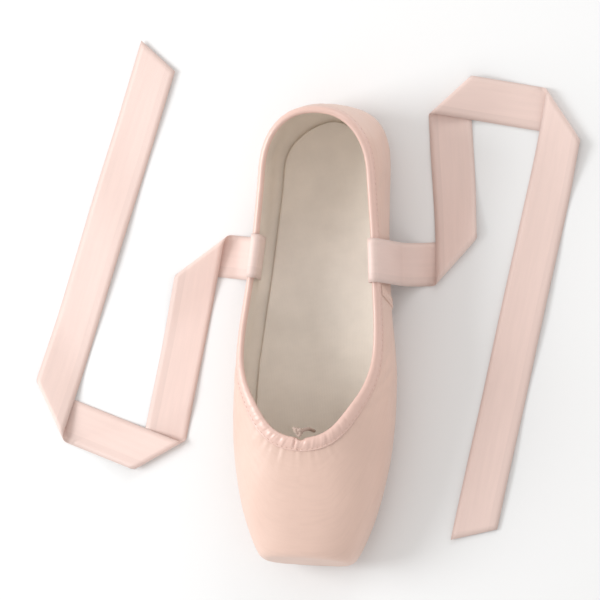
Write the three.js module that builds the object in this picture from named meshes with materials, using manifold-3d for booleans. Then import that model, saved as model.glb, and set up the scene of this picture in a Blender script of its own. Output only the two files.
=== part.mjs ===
// A pointe shoe of satin over a stiffened toe box, with a leather outsole and two tie ribbons.
// Millimetres. +X runs from heel to toe, +Y is the shoe's left, +Z is up, and the floor is z = 0.
// The shoe is the same on both sides of y = 0, so it serves either foot.

import * as THREE from "three";
import { mergeVertices } from "three/addons/utils/BufferGeometryUtils.js";
import Module from "manifold-3d";

const clamp = THREE.MathUtils.clamp;
const lerp = THREE.MathUtils.lerp;
const smoothstep = THREE.MathUtils.smoothstep;
const radians = THREE.MathUtils.degToRad;

// Driving dimensions of the shoe, measured over the satin.
const LENGTH = 232; // back of the heel to the platform
const BALL_WIDTH = 82; // widest part of the box
const INSTEP = 53; // height of the throat above the floor
const HEEL_HEIGHT = 55; // height of the topline at the back
const VAMP = 63; // throat to platform, measured along the floor
const WAIST_HEIGHT = 20; // height at which each section is widest

// Thicknesses and clearances.
const QUARTER_WALL = 1.6; // satin, canvas and lining at the sides and heel
const BOX_WALL = 3; // the same with the stiffened layers of the toe box
const SOLE_LEATHER = 2.8;
const INSOLE_BOARD = 1.8;
const GAP = 0.3; // between pieces that meet

// Toe box and platform.
const PLATFORM_EDGE = 2.6; // radius round the platform's edge
const PLATFORM_LEAN = radians(10); // its top edge stands back from its foot
const PLATFORM_FOOT = 10; // height at which the platform reaches furthest
const LEAN_REACH = 34; // length over which the lean fades out
const BOX_END = 36; // the stiffening is full as far as here from the platform
const BOX_FADE = 53; // and has ended here

const HEEL_CUP = 38; // length of the rounded back

// Binding folded over the topline.
const BINDING = { width: 7, proud: 0.8, leg: 0.5 };

// Side seam: a lapped band each side that leans forward towards the sole.
const SEAM = { top: 139, bottom: 127, width: 5.5, proud: 0.55 };

// Outsole: its tip and back from the platform, and the lengths and squareness of its rounded ends.
const SOLE = { tip: 29, back: 226, tipRound: 15, tipSquare: 2.6, backRound: 20, backSquare: 2.3 };
const SKIVE = { share: 0.3, reach: 18 }; // its tip is thinner by this share, over this length
const SOLE_RINGS = [0, 0.3, 0.58, 0.82, 1]; // rings of its faces as shares of its half width
const LASTING_MARGIN = 8; // the upper turned in under the foot, inside the outsole's outline
const LEAST_OPENING = 3; // half width of the upper's opening underneath where it is narrowest

// Insole: its outline as a share of the last's, and the height of its underside over the last's.
const INSOLE = { share: 0.8, lift: 2.1 };
const INSOLE_RINGS = [0, 0.4, 0.75, 1];

// Each section of the last: "from" is its distance from the platform as a share of the length,
// "width" a share of the ball width, "top" and "bottom" shares of the instep height.
// Behind the throat "top" is where the open sides would close, well above the topline.
const LAST_SECTIONS = [
  { from: 0.0, width: 0.565, top: 0.64, bottom: 0.14 },
  { from: 0.015, width: 0.617, top: 0.675, bottom: 0.105 },
  { from: 0.03, width: 0.662, top: 0.7, bottom: 0.083 },
  { from: 0.062, width: 0.735, top: 0.74, bottom: 0.06 },
  { from: 0.114, width: 0.83, top: 0.805, bottom: 0.052 },
  { from: 0.177, width: 0.912, top: 0.885, bottom: 0.05 },
  { from: 0.245, width: 0.972, top: 0.965, bottom: 0.05 },
  { from: VAMP / LENGTH, width: 0.985, top: 1.0, bottom: 0.05 },
  { from: 0.34, width: 1.0, top: 1.075, bottom: 0.05 },
  { from: 0.41, width: 0.992, top: 1.18, bottom: 0.05 },
  { from: 0.48, width: 0.95, top: 1.3, bottom: 0.062 },
  { from: 0.56, width: 0.885, top: 1.4, bottom: 0.1 },
  { from: 0.65, width: 0.825, top: 1.46, bottom: 0.121 },
  { from: 0.74, width: 0.79, top: 1.49, bottom: 0.092 },
  { from: 0.83, width: 0.765, top: 1.5, bottom: 0.05 },
  { from: 1.0, width: 0.75, top: 1.5, bottom: 0.05 },
];

// Height of the topline: "from" as above, "height" a share of the instep height.
const TOPLINE = [
  { from: 0.0, height: 1.3 },
  { from: VAMP / LENGTH, height: 1.0 },
  { from: 0.34, height: 0.958 },
  { from: 0.4, height: 0.89 },
  { from: 0.47, height: 0.83 },
  { from: 0.55, height: 0.8 },
  { from: 0.62, height: 0.794 },
  { from: 0.69, height: 0.8 },
  { from: 0.77, height: 0.85 },
  { from: 0.87, height: 0.935 },
  { from: 0.94, height: 1.0 },
  { from: 1.0, height: HEEL_HEIGHT / INSTEP },
];

// Outline of the outsole: "along" is a share of its own length from the tip, "width" of the ball width.
const SOLE_OUTLINE = [
  { along: 0.0, width: 0.5 },
  { along: 0.05, width: 0.56 },
  { along: 0.12, width: 0.64 },
  { along: 0.22, width: 0.69 },
  { along: 0.33, width: 0.66 },
  { along: 0.45, width: 0.5 },
  { along: 0.56, width: 0.36 },
  { along: 0.66, width: 0.33 },
  { along: 0.78, width: 0.42 },
  { along: 0.9, width: 0.51 },
  { along: 1.0, width: 0.53 },
];

// How square the last is: higher is squarer. "width" and "heel" are its outline in plan, low down near
// the sole and high up, and "crown", "sole" and "heelSole" its outline in section.
const SQUARE = {
  width: { low: 3, high: 2.2 },
  heel: { low: 3, high: 2.4 },
  crown: 2,
  sole: 3,
  heelSole: 5,
};
const SQUARE_BLEND = { low: 8, high: 34 }; // heights between which the plan outline changes
const HEELWARDS = { start: 0.52, end: 0.82 }; // shares of the length between which "sole" turns to "heelSole"
const UNDERNEATH = { side: 0.5, sole: 0.9 }; // how far down a wall faces as the box's stiffening runs out

// Corners of the binding's section: "below" the topline, and "out" of the last's surface.
const BINDING_INSIDE = -QUARTER_WALL - GAP - BINDING.leg;
const BINDING_SECTION = [
  { below: BINDING.width, out: BINDING.proud },
  { below: 1.2, out: BINDING.proud },
  { below: 0.2, out: BINDING.proud / 2 },
  { below: 0, out: -QUARTER_WALL / 2 },
  { below: 0.2, out: BINDING_INSIDE * 0.85 },
  { below: 1.2, out: BINDING_INSIDE },
  { below: BINDING.width, out: BINDING_INSIDE },
  { below: BINDING.width, out: -QUARTER_WALL - GAP },
  { below: 1.6, out: -QUARTER_WALL - GAP },
  { below: 1.6, out: GAP },
  { below: BINDING.width, out: GAP },
];
const WALL_TOP = 1.6 + GAP; // the upper ends this far below the topline, inside the binding

// Ribs run from the sole up to the topline. They fan out round the toe, cross the sides and fan round
// the heel.
const TOE_FAN = 92; // distance of the toe fan's centre from the platform
const HEEL_FAN = 194; // and of the heel fan's
const SPINE_HEIGHT = 21;
const TOE_ANGLES = [0, 4.5, 8.5, 11.5, 13.6, 15.6, 18.5, 22, 26.5, 32, 38.5, 46, 54, 63, 72, 81];
const SIDE_RIBS = 13;
const HEEL_STEPS = 8;
const RIB_POINTS = 19; // points along the upper's wall on each rib
const RIB_SCAN = 160; // points that find a rib's shape

// Tie ribbons: "from" is the distance of a ribbon's middle from the platform, "inside" the length sewn
// within the quarter, and "cut" the slant of its free end.
const RIBBON = { from: 153, width: 22, thickness: 0.5, length: 460, inside: 24, cut: radians(25) };
const RIBBON_OVER = { radius: 2.5, lean: radians(8), centre: 1 }; // its bend over the binding
const RIBBON_FLOOR = { radius: 12, lean: radians(9.5), lift: 0.1 }; // its bend onto the floor
const RIBBON_FOLD = { radius: 2, settle: radians(12), settleRadius: 60 };

// Each fold of a ribbon on the floor: "after" is the flat length before it, and "skew" the slant of its
// crease from square across, in degrees.
const LEFT_FOLDS = [
  { after: 11.5, skew: 44 },
  { after: 42, skew: 38 },
  { after: 20, skew: -44 },
];
const RIGHT_FOLDS = [
  { after: 13, skew: -47 },
  { after: 60, skew: -40 },
  { after: 21.5, skew: 47 },
];

// Drawstring: its thickness, the size of its knot, and the route of one of its two hanging ends,
// each row as distances from the knot.
const DRAWSTRING = { diameter: 1.8, knot: 2.4, sides: 8 };
const DRAWSTRING_END = [
  { forward: 0, aside: 0, down: 0 },
  { forward: -1.2, aside: 2.4, down: 1.2 },
  { forward: -1.8, aside: 3.6, down: 4.4 },
  { forward: -1.6, aside: 4.2, down: 9 },
  { forward: -1, aside: 4.6, down: 15.8 },
];

// A smooth curve through one column of a table, with no overshoot between its rows.
function column(table, across, name) {
  const at = table.map((row) => row[across]);
  const value = table.map((row) => row[name]);
  const rise = at.slice(1).map((x, i) => (value[i + 1] - value[i]) / (x - at[i]));
  const slope = at.map((_, i) => {
    if (i === 0) return rise[0];
    if (i === at.length - 1) return rise[i - 1];
    const product = rise[i - 1] * rise[i];
    return product <= 0 ? 0 : (2 * product) / (rise[i - 1] + rise[i]);
  });
  return (x) => {
    const u = clamp(x, at[0], at[at.length - 1]);
    let i = 0;
    while (i < at.length - 2 && u > at[i + 1]) i += 1;
    const step = at[i + 1] - at[i];
    const t = (u - at[i]) / step;
    const start = (value[i] * (1 + 2 * t) + step * slope[i] * t) * (1 - t) ** 2;
    const end = (value[i + 1] * (3 - 2 * t) + step * slope[i + 1] * (t - 1)) * t ** 2;
    return start + end;
  };
}

const sectionWidth = column(LAST_SECTIONS, "from", "width");
const sectionTop = column(LAST_SECTIONS, "from", "top");
const sectionBottom = column(LAST_SECTIONS, "from", "bottom");
const toplineHeight = column(TOPLINE, "from", "height");
const soleWidth = column(SOLE_OUTLINE, "along", "width");

// Distance from the platform of a place along X, and back.
const fromPlatform = (x) => LENGTH / 2 - x;
const alongShoe = (from) => LENGTH / 2 - from;

// The value in a range at which a test turns true.
function turningPoint(low, high, test) {
  let before = low;
  let after = high;
  for (let i = 0; i < 30; i += 1) {
    const middle = (before + after) / 2;
    if (test(middle)) after = middle;
    else before = middle;
  }
  return after;
}

// The section of the last at a distance from the platform: half width, and heights of its top and bottom.
function section(from) {
  const into = clamp(PLATFORM_EDGE - from, 0, PLATFORM_EDGE);
  const edge = PLATFORM_EDGE - Math.sqrt(PLATFORM_EDGE ** 2 - into ** 2);
  const share = from / LENGTH;
  return {
    half: (BALL_WIDTH / 2) * sectionWidth(share) - edge,
    top: INSTEP * sectionTop(share) - edge,
    bottom: INSTEP * sectionBottom(share) + edge,
  };
}

// Below zero inside the last, above zero outside it.
function lastField(x, y, z) {
  const leaning = 1 - smoothstep(fromPlatform(x), 0, LEAN_REACH);
  const from = fromPlatform(x) - leaning * Math.tan(PLATFORM_LEAN) * (z - PLATFORM_FOOT);
  const { half, top, bottom } = section(from);
  const above = z >= WAIST_HEIGHT;
  const reach = above ? top - WAIST_HEIGHT : WAIST_HEIGHT - bottom;
  const heelwards = smoothstep(from / LENGTH, HEELWARDS.start, HEELWARDS.end);
  const squareHeight = above ? SQUARE.crown : lerp(SQUARE.sole, SQUARE.heelSole, heelwards);
  const upwards = smoothstep(z, SQUARE_BLEND.low, SQUARE_BLEND.high);
  const squareWidth = lerp(SQUARE.width.low, SQUARE.width.high, upwards);
  const squareHeel = lerp(SQUARE.heel.low, SQUARE.heel.high, upwards);
  const intoHeel = Math.max((from - LENGTH) / HEEL_CUP + 1, 0);
  const round =
    (Math.abs(y) / half) ** squareWidth +
    (Math.abs(z - WAIST_HEIGHT) / reach) ** squareHeight +
    intoHeel ** squareHeel;
  return Math.max(round - 1, -from / BALL_WIDTH);
}

// The last's outward direction at a point of its surface.
function outward(p) {
  const h = 0.05;
  const n = new THREE.Vector3(
    lastField(p.x + h, p.y, p.z) - lastField(p.x - h, p.y, p.z),
    lastField(p.x, p.y + h, p.z) - lastField(p.x, p.y - h, p.z),
    lastField(p.x, p.y, p.z + h) - lastField(p.x, p.y, p.z - h),
  );
  return n.normalize();
}

// Height of the last's underside at a place in plan.
function underside(x, y) {
  return turningPoint(-5, WAIST_HEIGHT, (z) => lastField(x, y, z) < 0);
}

// Half width of the outsole at a place along X, or below zero past its ends.
function soleHalfWidth(x) {
  const length = SOLE.back - SOLE.tip;
  const along = fromPlatform(x) - SOLE.tip;
  if (along < 0 || along > length) return -1;
  const tip = clamp(1 - along / SOLE.tipRound, 0, 1);
  const back = clamp(1 - (length - along) / SOLE.backRound, 0, 1);
  const rounding = Math.sqrt((1 - tip ** SOLE.tipSquare) * (1 - back ** SOLE.backSquare));
  return (BALL_WIDTH / 2) * soleWidth(along / length) * rounding;
}

// The place in plan on a rib at a distance from its foot on the centre line.
function planPlace(rib, distance) {
  return [rib.x + distance * Math.cos(rib.angle), distance * Math.sin(rib.angle)];
}

// Distances in plan from a rib's foot to the outsole's outline and to the last's.
function soleReach(rib) {
  return turningPoint(0, LENGTH, (distance) => {
    const [x, y] = planPlace(rib, distance);
    return Math.abs(y) > soleHalfWidth(x);
  });
}

function lastReach(rib) {
  return turningPoint(0, LENGTH, (distance) => {
    const [x, y] = planPlace(rib, distance);
    return lastField(x, y, WAIST_HEIGHT) > 0;
  });
}

// The ribs in order round the shoe, from the middle of the toe by the left side and the heel back to the toe.
function ribLayout() {
  const half = TOE_ANGLES.map((degrees) => ({ x: alongShoe(TOE_FAN), angle: radians(degrees) }));
  for (let i = 0; i <= SIDE_RIBS; i += 1) {
    half.push({ x: alongShoe(lerp(TOE_FAN, HEEL_FAN, i / SIDE_RIBS)), angle: Math.PI / 2 });
  }
  for (let i = 1; i <= HEEL_STEPS; i += 1) {
    half.push({ x: alongShoe(HEEL_FAN), angle: (Math.PI / 2) * (1 + i / HEEL_STEPS) });
  }
  const mirrored = half.slice(1, -1).map((rib) => ({ x: rib.x, angle: -rib.angle }));
  return half.concat(mirrored.reverse());
}

// The point where a ray leaves the last, from the rib's foot on the spine at an angle above level.
function surfacePoint(rib, above) {
  const ray = new THREE.Vector3(
    Math.cos(above) * Math.cos(rib.angle),
    Math.cos(above) * Math.sin(rib.angle),
    Math.sin(above),
  );
  const spine = new THREE.Vector3(rib.x, 0, SPINE_HEIGHT);
  const at = (distance) => ray.clone().multiplyScalar(distance).add(spine);
  return at(turningPoint(0, LENGTH, (distance) => lastField(...at(distance).toArray()) > 0));
}

// A line of points with the length up to each of them.
function measuredLine(points) {
  const sums = [0];
  for (let i = 1; i < points.length; i += 1) {
    sums.push(sums[i - 1] + points[i].distanceTo(points[i - 1]));
  }
  return { points, sums, length: sums[sums.length - 1] };
}

// The last's surface along one rib, from the edge of the opening underneath up to the topline.
function ribLine(rib) {
  const margin = Math.max(soleReach(rib) - LASTING_MARGIN, LEAST_OPENING);
  const start = turningPoint(-Math.PI / 2, 0, (above) => {
    const p = surfacePoint(rib, above);
    return Math.hypot(p.x - rib.x, p.y) > margin;
  });
  const end = turningPoint(0, Math.PI / 2, (above) => {
    const p = surfacePoint(rib, above);
    return p.z > INSTEP * toplineHeight(fromPlatform(p.x) / LENGTH);
  });
  const angles = Array.from({ length: RIB_SCAN + 1 }, (_, i) => lerp(start, end, i / RIB_SCAN));
  return measuredLine(angles.map((above) => surfacePoint(rib, above)));
}

// The point at a given length along a line.
function pointAt(line, at) {
  let i = 1;
  while (i < line.points.length - 1 && line.sums[i] < at) i += 1;
  const t = (at - line.sums[i - 1]) / (line.sums[i] - line.sums[i - 1]);
  return line.points[i - 1].clone().lerp(line.points[i], clamp(t, 0, 1));
}

// Lengths along a line for a number of points, closer together where it bends.
function spreadAlong(line, end, count) {
  const steps = 160;
  const bendWeight = 2.2;
  const at = Array.from({ length: steps + 1 }, (_, i) => (end * i) / steps);
  const points = at.map((s) => pointAt(line, s));
  const weight = [0];
  for (let i = 1; i <= steps; i += 1) {
    const before = points[Math.max(i - 3, 0)];
    const after = points[Math.min(i + 3, steps)];
    const turn = points[i].clone().sub(before).angleTo(after.clone().sub(points[i]));
    weight.push(weight[i - 1] + end / steps + bendWeight * (turn || 0));
  }
  return Array.from({ length: count }, (_, k) => {
    const target = (weight[steps] * k) / (count - 1);
    let i = 1;
    while (i < steps && weight[i] < target) i += 1;
    const t = (target - weight[i - 1]) / (weight[i] - weight[i - 1]);
    return lerp(at[i - 1], at[i], clamp(t, 0, 1));
  });
}

// A mesh from points and triangles, turned so that its faces point out.
function outwardMesh(points, triangles) {
  let volume = 0;
  for (let i = 0; i < triangles.length; i += 3) {
    const [a, b, c] = [0, 1, 2].map((k) => points[triangles[i + k]]);
    volume += a.dot(b.clone().cross(c));
  }
  const geometry = new THREE.BufferGeometry().setFromPoints(points);
  geometry.setIndex(volume < 0 ? triangles.slice().reverse() : triangles);
  return geometry;
}

// A closed mesh through rings of points. The rings close on themselves, or end in two flat caps.
function ringMesh(rings, capped = false) {
  const count = rings[0].length;
  const triangles = [];
  const bands = capped ? rings.length - 1 : rings.length;
  for (let i = 0; i < bands; i += 1) {
    const here = i * count;
    const next = ((i + 1) % rings.length) * count;
    for (let j = 0; j < count; j += 1) {
      const k = (j + 1) % count;
      const [a, b, c, d] = [here + j, next + j, next + k, here + k];
      if (i < rings.length / 2) triangles.push(a, b, d, b, c, d);
      else triangles.push(a, b, c, a, c, d);
    }
  }
  if (capped) {
    const last = (rings.length - 1) * count;
    for (let j = 1; j < count - 1; j += 1) {
      triangles.push(0, j, j + 1, last, last + j + 1, last + j);
    }
  }
  return outwardMesh(rings.flat(), triangles);
}

// A closed mesh through the rings of a plate, whose first and last points lie on the centre line.
function plateMesh(rings) {
  const found = new Map();
  const points = [];
  const vertex = (p) => {
    const key = p.toArray().map((v) => Math.round(v * 500)).join();
    if (!found.has(key)) {
      found.set(key, points.length);
      points.push(p);
    }
    return found.get(key);
  };
  const triangles = [];
  const face = (a, b, c) => {
    if (a !== b && b !== c && c !== a) triangles.push(a, b, c);
  };
  rings.forEach((ring, i) => {
    const next = rings[(i + 1) % rings.length];
    for (let j = 0; j < ring.length - 1; j += 1) {
      const [a, b, c, d] = [ring[j], ring[j + 1], next[j + 1], next[j]].map(vertex);
      face(a, b, c);
      face(a, c, d);
    }
  });
  return outwardMesh(points, triangles);
}

const ribs = ribLayout();
const ribLines = ribs.map(ribLine);

// Thickness of the upper's wall at a point.
function wallThickness(p, normal) {
  const box = 1 - smoothstep(fromPlatform(p.x), BOX_END, BOX_FADE);
  const beneath = smoothstep(-normal.z, UNDERNEATH.side, UNDERNEATH.sole);
  return lerp(QUARTER_WALL, BOX_WALL, box * (1 - beneath));
}

// The upper: one hollow wall from the lasting margin under the foot up into the binding.
function upperGeometry() {
  const rings = ribLines.map((line) => {
    const outer = spreadAlong(line, line.length - WALL_TOP, RIB_POINTS).map((at) => pointAt(line, at));
    const inner = outer.map((p) => {
      const normal = outward(p);
      return p.clone().addScaledVector(normal, -wallThickness(p, normal));
    });
    return outer.concat(inner.reverse());
  });
  return ringMesh(rings);
}

// The binding: a casing folded over the upper's edge.
function bindingGeometry() {
  const rings = ribLines.map((line) =>
    BINDING_SECTION.map(({ below, out }) => {
      const p = pointAt(line, line.length - below);
      return p.clone().addScaledVector(outward(p), out);
    }),
  );
  return ringMesh(rings);
}

// A plate that follows the last's underside: shares of its reach for its rings, its reach along a rib,
// and the heights of its two faces at a place in plan.
function plateGeometry(shares, reach, lowFace, highFace) {
  const rings = ribs.map((rib) => {
    const far = reach(rib);
    const corner = (share, face) => {
      const [x, y] = planPlace(rib, far * share);
      return new THREE.Vector3(x, y, face(x, y));
    };
    const low = shares.map((share) => corner(share, lowFace));
    const high = shares.map((share) => corner(share, highFace));
    return low.concat(high.reverse());
  });
  return plateMesh(rings);
}

// The outsole: leather under the foot, skived thinner at the tip, flat on the floor at ball and heel.
function outsoleGeometry() {
  const skived = (x) => 1 - SKIVE.share * (1 - smoothstep(fromPlatform(x) - SOLE.tip, 0, SKIVE.reach));
  const high = (x, y) => underside(x, y) - GAP;
  const low = (x, y) => Math.max(0, high(x, y) - SOLE_LEATHER * skived(x));
  return plateGeometry(SOLE_RINGS, soleReach, low, high);
}

// The insole: a covered board that lies on the lasting margin inside the shoe.
function insoleGeometry() {
  const reach = (rib) => lastReach(rib) * INSOLE.share;
  const low = (x, y) => underside(x, y) + INSOLE.lift;
  const high = (x, y) => low(x, y) + INSOLE_BOARD;
  return plateGeometry(INSOLE_RINGS, reach, low, high);
}

// A side seam: a thin band on the upper from the edge of the outsole up to the binding.
function seamGeometry(side) {
  const stations = 22;
  const rings = Array.from({ length: stations }, (_, i) => {
    const share = i / (stations - 1);
    const middle = alongShoe(lerp(SEAM.bottom, SEAM.top, share));
    const corners = [-SEAM.width / 2, SEAM.width / 2].map((aside) => {
      const line = ribLine({ x: middle + aside, angle: (side * Math.PI) / 2 });
      const start = LASTING_MARGIN + 1;
      const end = line.length - BINDING.width - GAP;
      const p = pointAt(line, lerp(start, end, share));
      const normal = outward(p);
      return [GAP, GAP + SEAM.proud].map((out) => p.clone().addScaledVector(normal, out));
    });
    return [corners[0][0], corners[1][0], corners[1][1], corners[0][1]];
  });
  return ringMesh(rings, true);
}

// Turns a point of a flat ribbon about one crease. "flat" is where the point lies on the flat ribbon.
function creased(point, flat, bend) {
  const across = new THREE.Vector3(Math.cos(bend.skew), Math.sin(bend.skew), 0);
  const up = new THREE.Vector3(0, 0, 1);
  const crease = new THREE.Vector3(bend.at, 0, 0);
  const sign = Math.sign(bend.turn);
  const past = flat.clone().sub(crease).dot(across);
  const wrapped = clamp(past, 0, bend.radius * Math.abs(bend.turn));
  const angle = wrapped / bend.radius;
  return point
    .clone()
    .sub(crease)
    .addScaledVector(across, -wrapped)
    .applyAxisAngle(across.clone().cross(up), sign * angle)
    .add(crease)
    .addScaledVector(across, bend.radius * Math.sin(angle))
    .addScaledVector(up, sign * bend.radius * (1 - Math.cos(angle)));
}

// The bends of a ribbon from its sewn end: over the binding, onto the floor, and its folds there.
function ribbonBends(folds, drop) {
  const over = Math.PI - RIBBON_FLOOR.lean + RIBBON_OVER.lean;
  const down = Math.PI / 2 - RIBBON_FLOOR.lean;
  const bends = [{ at: RIBBON.inside, skew: 0, radius: RIBBON_OVER.radius, turn: over }];
  let at = RIBBON.inside + RIBBON_OVER.radius * over + drop;
  bends.push({ at, skew: 0, radius: RIBBON_FLOOR.radius, turn: -down });
  at += RIBBON_FLOOR.radius * down;
  const { radius, settle, settleRadius } = RIBBON_FOLD;
  const fall = radius * (1 + Math.cos(settle)) - settleRadius * (1 - Math.cos(settle));
  folds.forEach((fold, i) => {
    const sign = i % 2 === 0 ? -1 : 1;
    const skew = radians(fold.skew);
    at += fold.after;
    bends.push({ at, skew, radius, turn: sign * (Math.PI + settle) });
    at += (radius * (Math.PI + settle) + fall / Math.sin(settle)) / Math.cos(skew);
    bends.push({ at, skew, radius: settleRadius, turn: -sign * settle });
    at += (settleRadius * settle) / Math.cos(skew);
  });
  return bends;
}

// A tie ribbon, laid on the left side and mirrored for the right.
function ribbonGeometry(side, folds) {
  const rib = (offset) => ({ x: alongShoe(RIBBON.from + offset), angle: Math.PI / 2 });
  const top = (offset) => ribLine(rib(offset)).points[RIB_SCAN];
  const along = top(-RIBBON.width / 2).sub(top(RIBBON.width / 2)).setZ(0).normalize();
  const out = new THREE.Vector3(0, 0, 1).cross(along);
  const { radius, lean, centre } = RIBBON_OVER;
  const sewn = top(0).addScaledVector(out, -QUARTER_WALL / 2 - radius * Math.cos(lean));
  sewn.z -= centre + radius * Math.sin(lean);

  const outLean = RIBBON_FLOOR.lean;
  const bendTop = sewn.z + radius * (Math.sin(lean) + Math.sin(outLean));
  const floorLevel = RIBBON.thickness / 2 + RIBBON_FLOOR.lift;
  const floorBend = RIBBON_FLOOR.radius * (1 - Math.sin(outLean));
  const drop = (bendTop - floorBend - floorLevel) / Math.cos(outLean);
  const bends = ribbonBends(folds, drop);

  const heading = new THREE.Vector3(0, 0, Math.cos(lean)).addScaledVector(out, -Math.sin(lean));
  const face = heading.clone().cross(along);
  const start = sewn.addScaledVector(heading, -RIBBON.inside);
  const placed = new THREE.Matrix4().makeBasis(heading, along, face).setPosition(start);

  const stations = [{ at: 0, skew: 0 }];
  bends.forEach((bend) => {
    const span = (bend.radius * Math.abs(bend.turn)) / Math.cos(bend.skew);
    const steps = Math.max(Math.ceil(Math.abs(bend.turn) / radians(20)), 3);
    for (let i = 0; i <= steps; i += 1) {
      stations.push({ at: bend.at + (span * i) / steps, skew: bend.skew });
    }
  });
  stations.push({ at: RIBBON.length, skew: RIBBON.cut });

  const w = RIBBON.width / 2;
  const h = RIBBON.thickness / 2;
  const corners = [[-w, -h], [w, -h], [w, h], [-w, h]];
  const rings = stations.map(({ at, skew }) =>
    corners.map(([aside, height]) => {
      const flat = new THREE.Vector3(at - aside * Math.tan(skew), aside, height);
      const p = bends.reduceRight((point, bend) => creased(point, flat, bend), flat.clone());
      p.applyMatrix4(placed);
      return p.setY(side * p.y);
    }),
  );
  return ringMesh(rings, true);
}

const wasm = await Module();
wasm.setup();

// A closed geometry as a solid that can be joined to others, and back.
function solidOf(geometry) {
  geometry.deleteAttribute("normal");
  geometry.deleteAttribute("uv");
  const merged = mergeVertices(geometry, 1e-3);
  const vertProperties = merged.attributes.position.array;
  const triVerts = new Uint32Array(merged.index.array);
  return new wasm.Manifold(new wasm.Mesh({ numProp: 3, vertProperties, triVerts }));
}

function geometryOf(solid) {
  const { vertProperties, triVerts } = solid.getMesh();
  const geometry = new THREE.BufferGeometry();
  geometry.setAttribute("position", new THREE.BufferAttribute(vertProperties, 3));
  geometry.setIndex(new THREE.BufferAttribute(triVerts, 1));
  return geometry;
}

// The drawstring: a knot against the binding at the throat, and two short ends that hang inside.
function drawstringGeometry() {
  const line = ribLines[0];
  const throat = line.points[RIB_SCAN];
  const past = throat.clone().sub(line.points[RIB_SCAN - 1]).normalize();
  const knot = throat
    .clone()
    .addScaledVector(past, DRAWSTRING.knot + GAP)
    .addScaledVector(outward(throat), -QUARTER_WALL / 2);
  const ball = new THREE.SphereGeometry(DRAWSTRING.knot, 16, 10);
  ball.translate(knot.x, knot.y, knot.z);
  let solid = solidOf(ball);
  [-1, 1].forEach((side) => {
    const route = DRAWSTRING_END.map(
      ({ forward, aside, down }) =>
        new THREE.Vector3(knot.x + forward, side * aside, knot.z - down),
    );
    const section = new THREE.Shape();
    section.absarc(0, 0, DRAWSTRING.diameter / 2, 0, 2 * Math.PI);
    const tube = new THREE.ExtrudeGeometry(section, {
      curveSegments: DRAWSTRING.sides / 2,
      steps: 12,
      extrudePath: new THREE.CatmullRomCurve3(route),
    });
    solid = solid.add(solidOf(tube));
  });
  return geometryOf(solid);
}

const finish = (color, roughness) =>
  new THREE.MeshStandardMaterial({ color, roughness, metalness: 0 });
const satin = finish(0xe6c3b4, 0.42);
const bindingSatin = finish(0xe9cabc, 0.5);
const soleLeather = finish(0xb29384, 0.85);
const cotton = finish(0xe8dccb, 0.9);
const ribbonSatin = finish(0xe8ccc4, 0.45);

function piece(name, geometry, material) {
  const mesh = new THREE.Mesh(geometry, material);
  mesh.name = name;
  return mesh;
}

const shoe = new THREE.Group();
shoe.add(
  piece("upper", upperGeometry(), satin),
  piece("binding", bindingGeometry(), bindingSatin),
  piece("outsole", outsoleGeometry(), soleLeather),
  piece("insole", insoleGeometry(), cotton),
  piece("side_seam_left", seamGeometry(1), satin),
  piece("side_seam_right", seamGeometry(-1), satin),
  piece("ribbon_left", ribbonGeometry(1, LEFT_FOLDS), ribbonSatin),
  piece("ribbon_right", ribbonGeometry(-1, RIGHT_FOLDS), ribbonSatin),
  piece("drawstring", drawstringGeometry(), cotton),
);

export default shoe;
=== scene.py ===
"""A satin pointe shoe with its ribbons, built around its fixed frame.

Lengths inside the script are in millimetres, and MM turns them into metres where a mesh is made. The
panel's sizes, the finishes, the lights and the floor are in metres.
+X runs from heel to toe, +Y is the shoe's left, +Z is up and the floor is z = 0.
"""

import functools
import math
from typing import NamedTuple

import bmesh
import bpy
import numpy as np
from mathutils import Matrix, Quaternion, Vector


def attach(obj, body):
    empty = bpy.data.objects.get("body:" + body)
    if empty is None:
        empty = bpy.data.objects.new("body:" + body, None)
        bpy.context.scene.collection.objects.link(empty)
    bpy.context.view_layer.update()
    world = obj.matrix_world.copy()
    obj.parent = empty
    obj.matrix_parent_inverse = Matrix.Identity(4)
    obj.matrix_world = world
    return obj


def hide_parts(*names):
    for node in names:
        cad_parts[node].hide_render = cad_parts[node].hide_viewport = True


bl_info = {
    "name": "Pointe Shoe",
    "version": (1, 0, 0),
    "blender": (4, 5, 0),
    "location": "View3D > Sidebar > Pointe Shoe",
    "description": "Builds a satin pointe shoe with its ribbons around a fixed frame",
    "category": "Add Mesh",
}

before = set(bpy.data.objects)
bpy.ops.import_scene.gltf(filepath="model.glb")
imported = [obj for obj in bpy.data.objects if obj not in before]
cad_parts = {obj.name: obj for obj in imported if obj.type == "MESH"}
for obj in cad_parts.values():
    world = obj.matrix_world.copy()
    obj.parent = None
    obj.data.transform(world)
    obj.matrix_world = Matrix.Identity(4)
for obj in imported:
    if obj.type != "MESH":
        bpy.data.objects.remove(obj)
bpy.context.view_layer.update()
BODY = "root"
MM = 0.001
UP = Vector((0, 0, 1))

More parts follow.
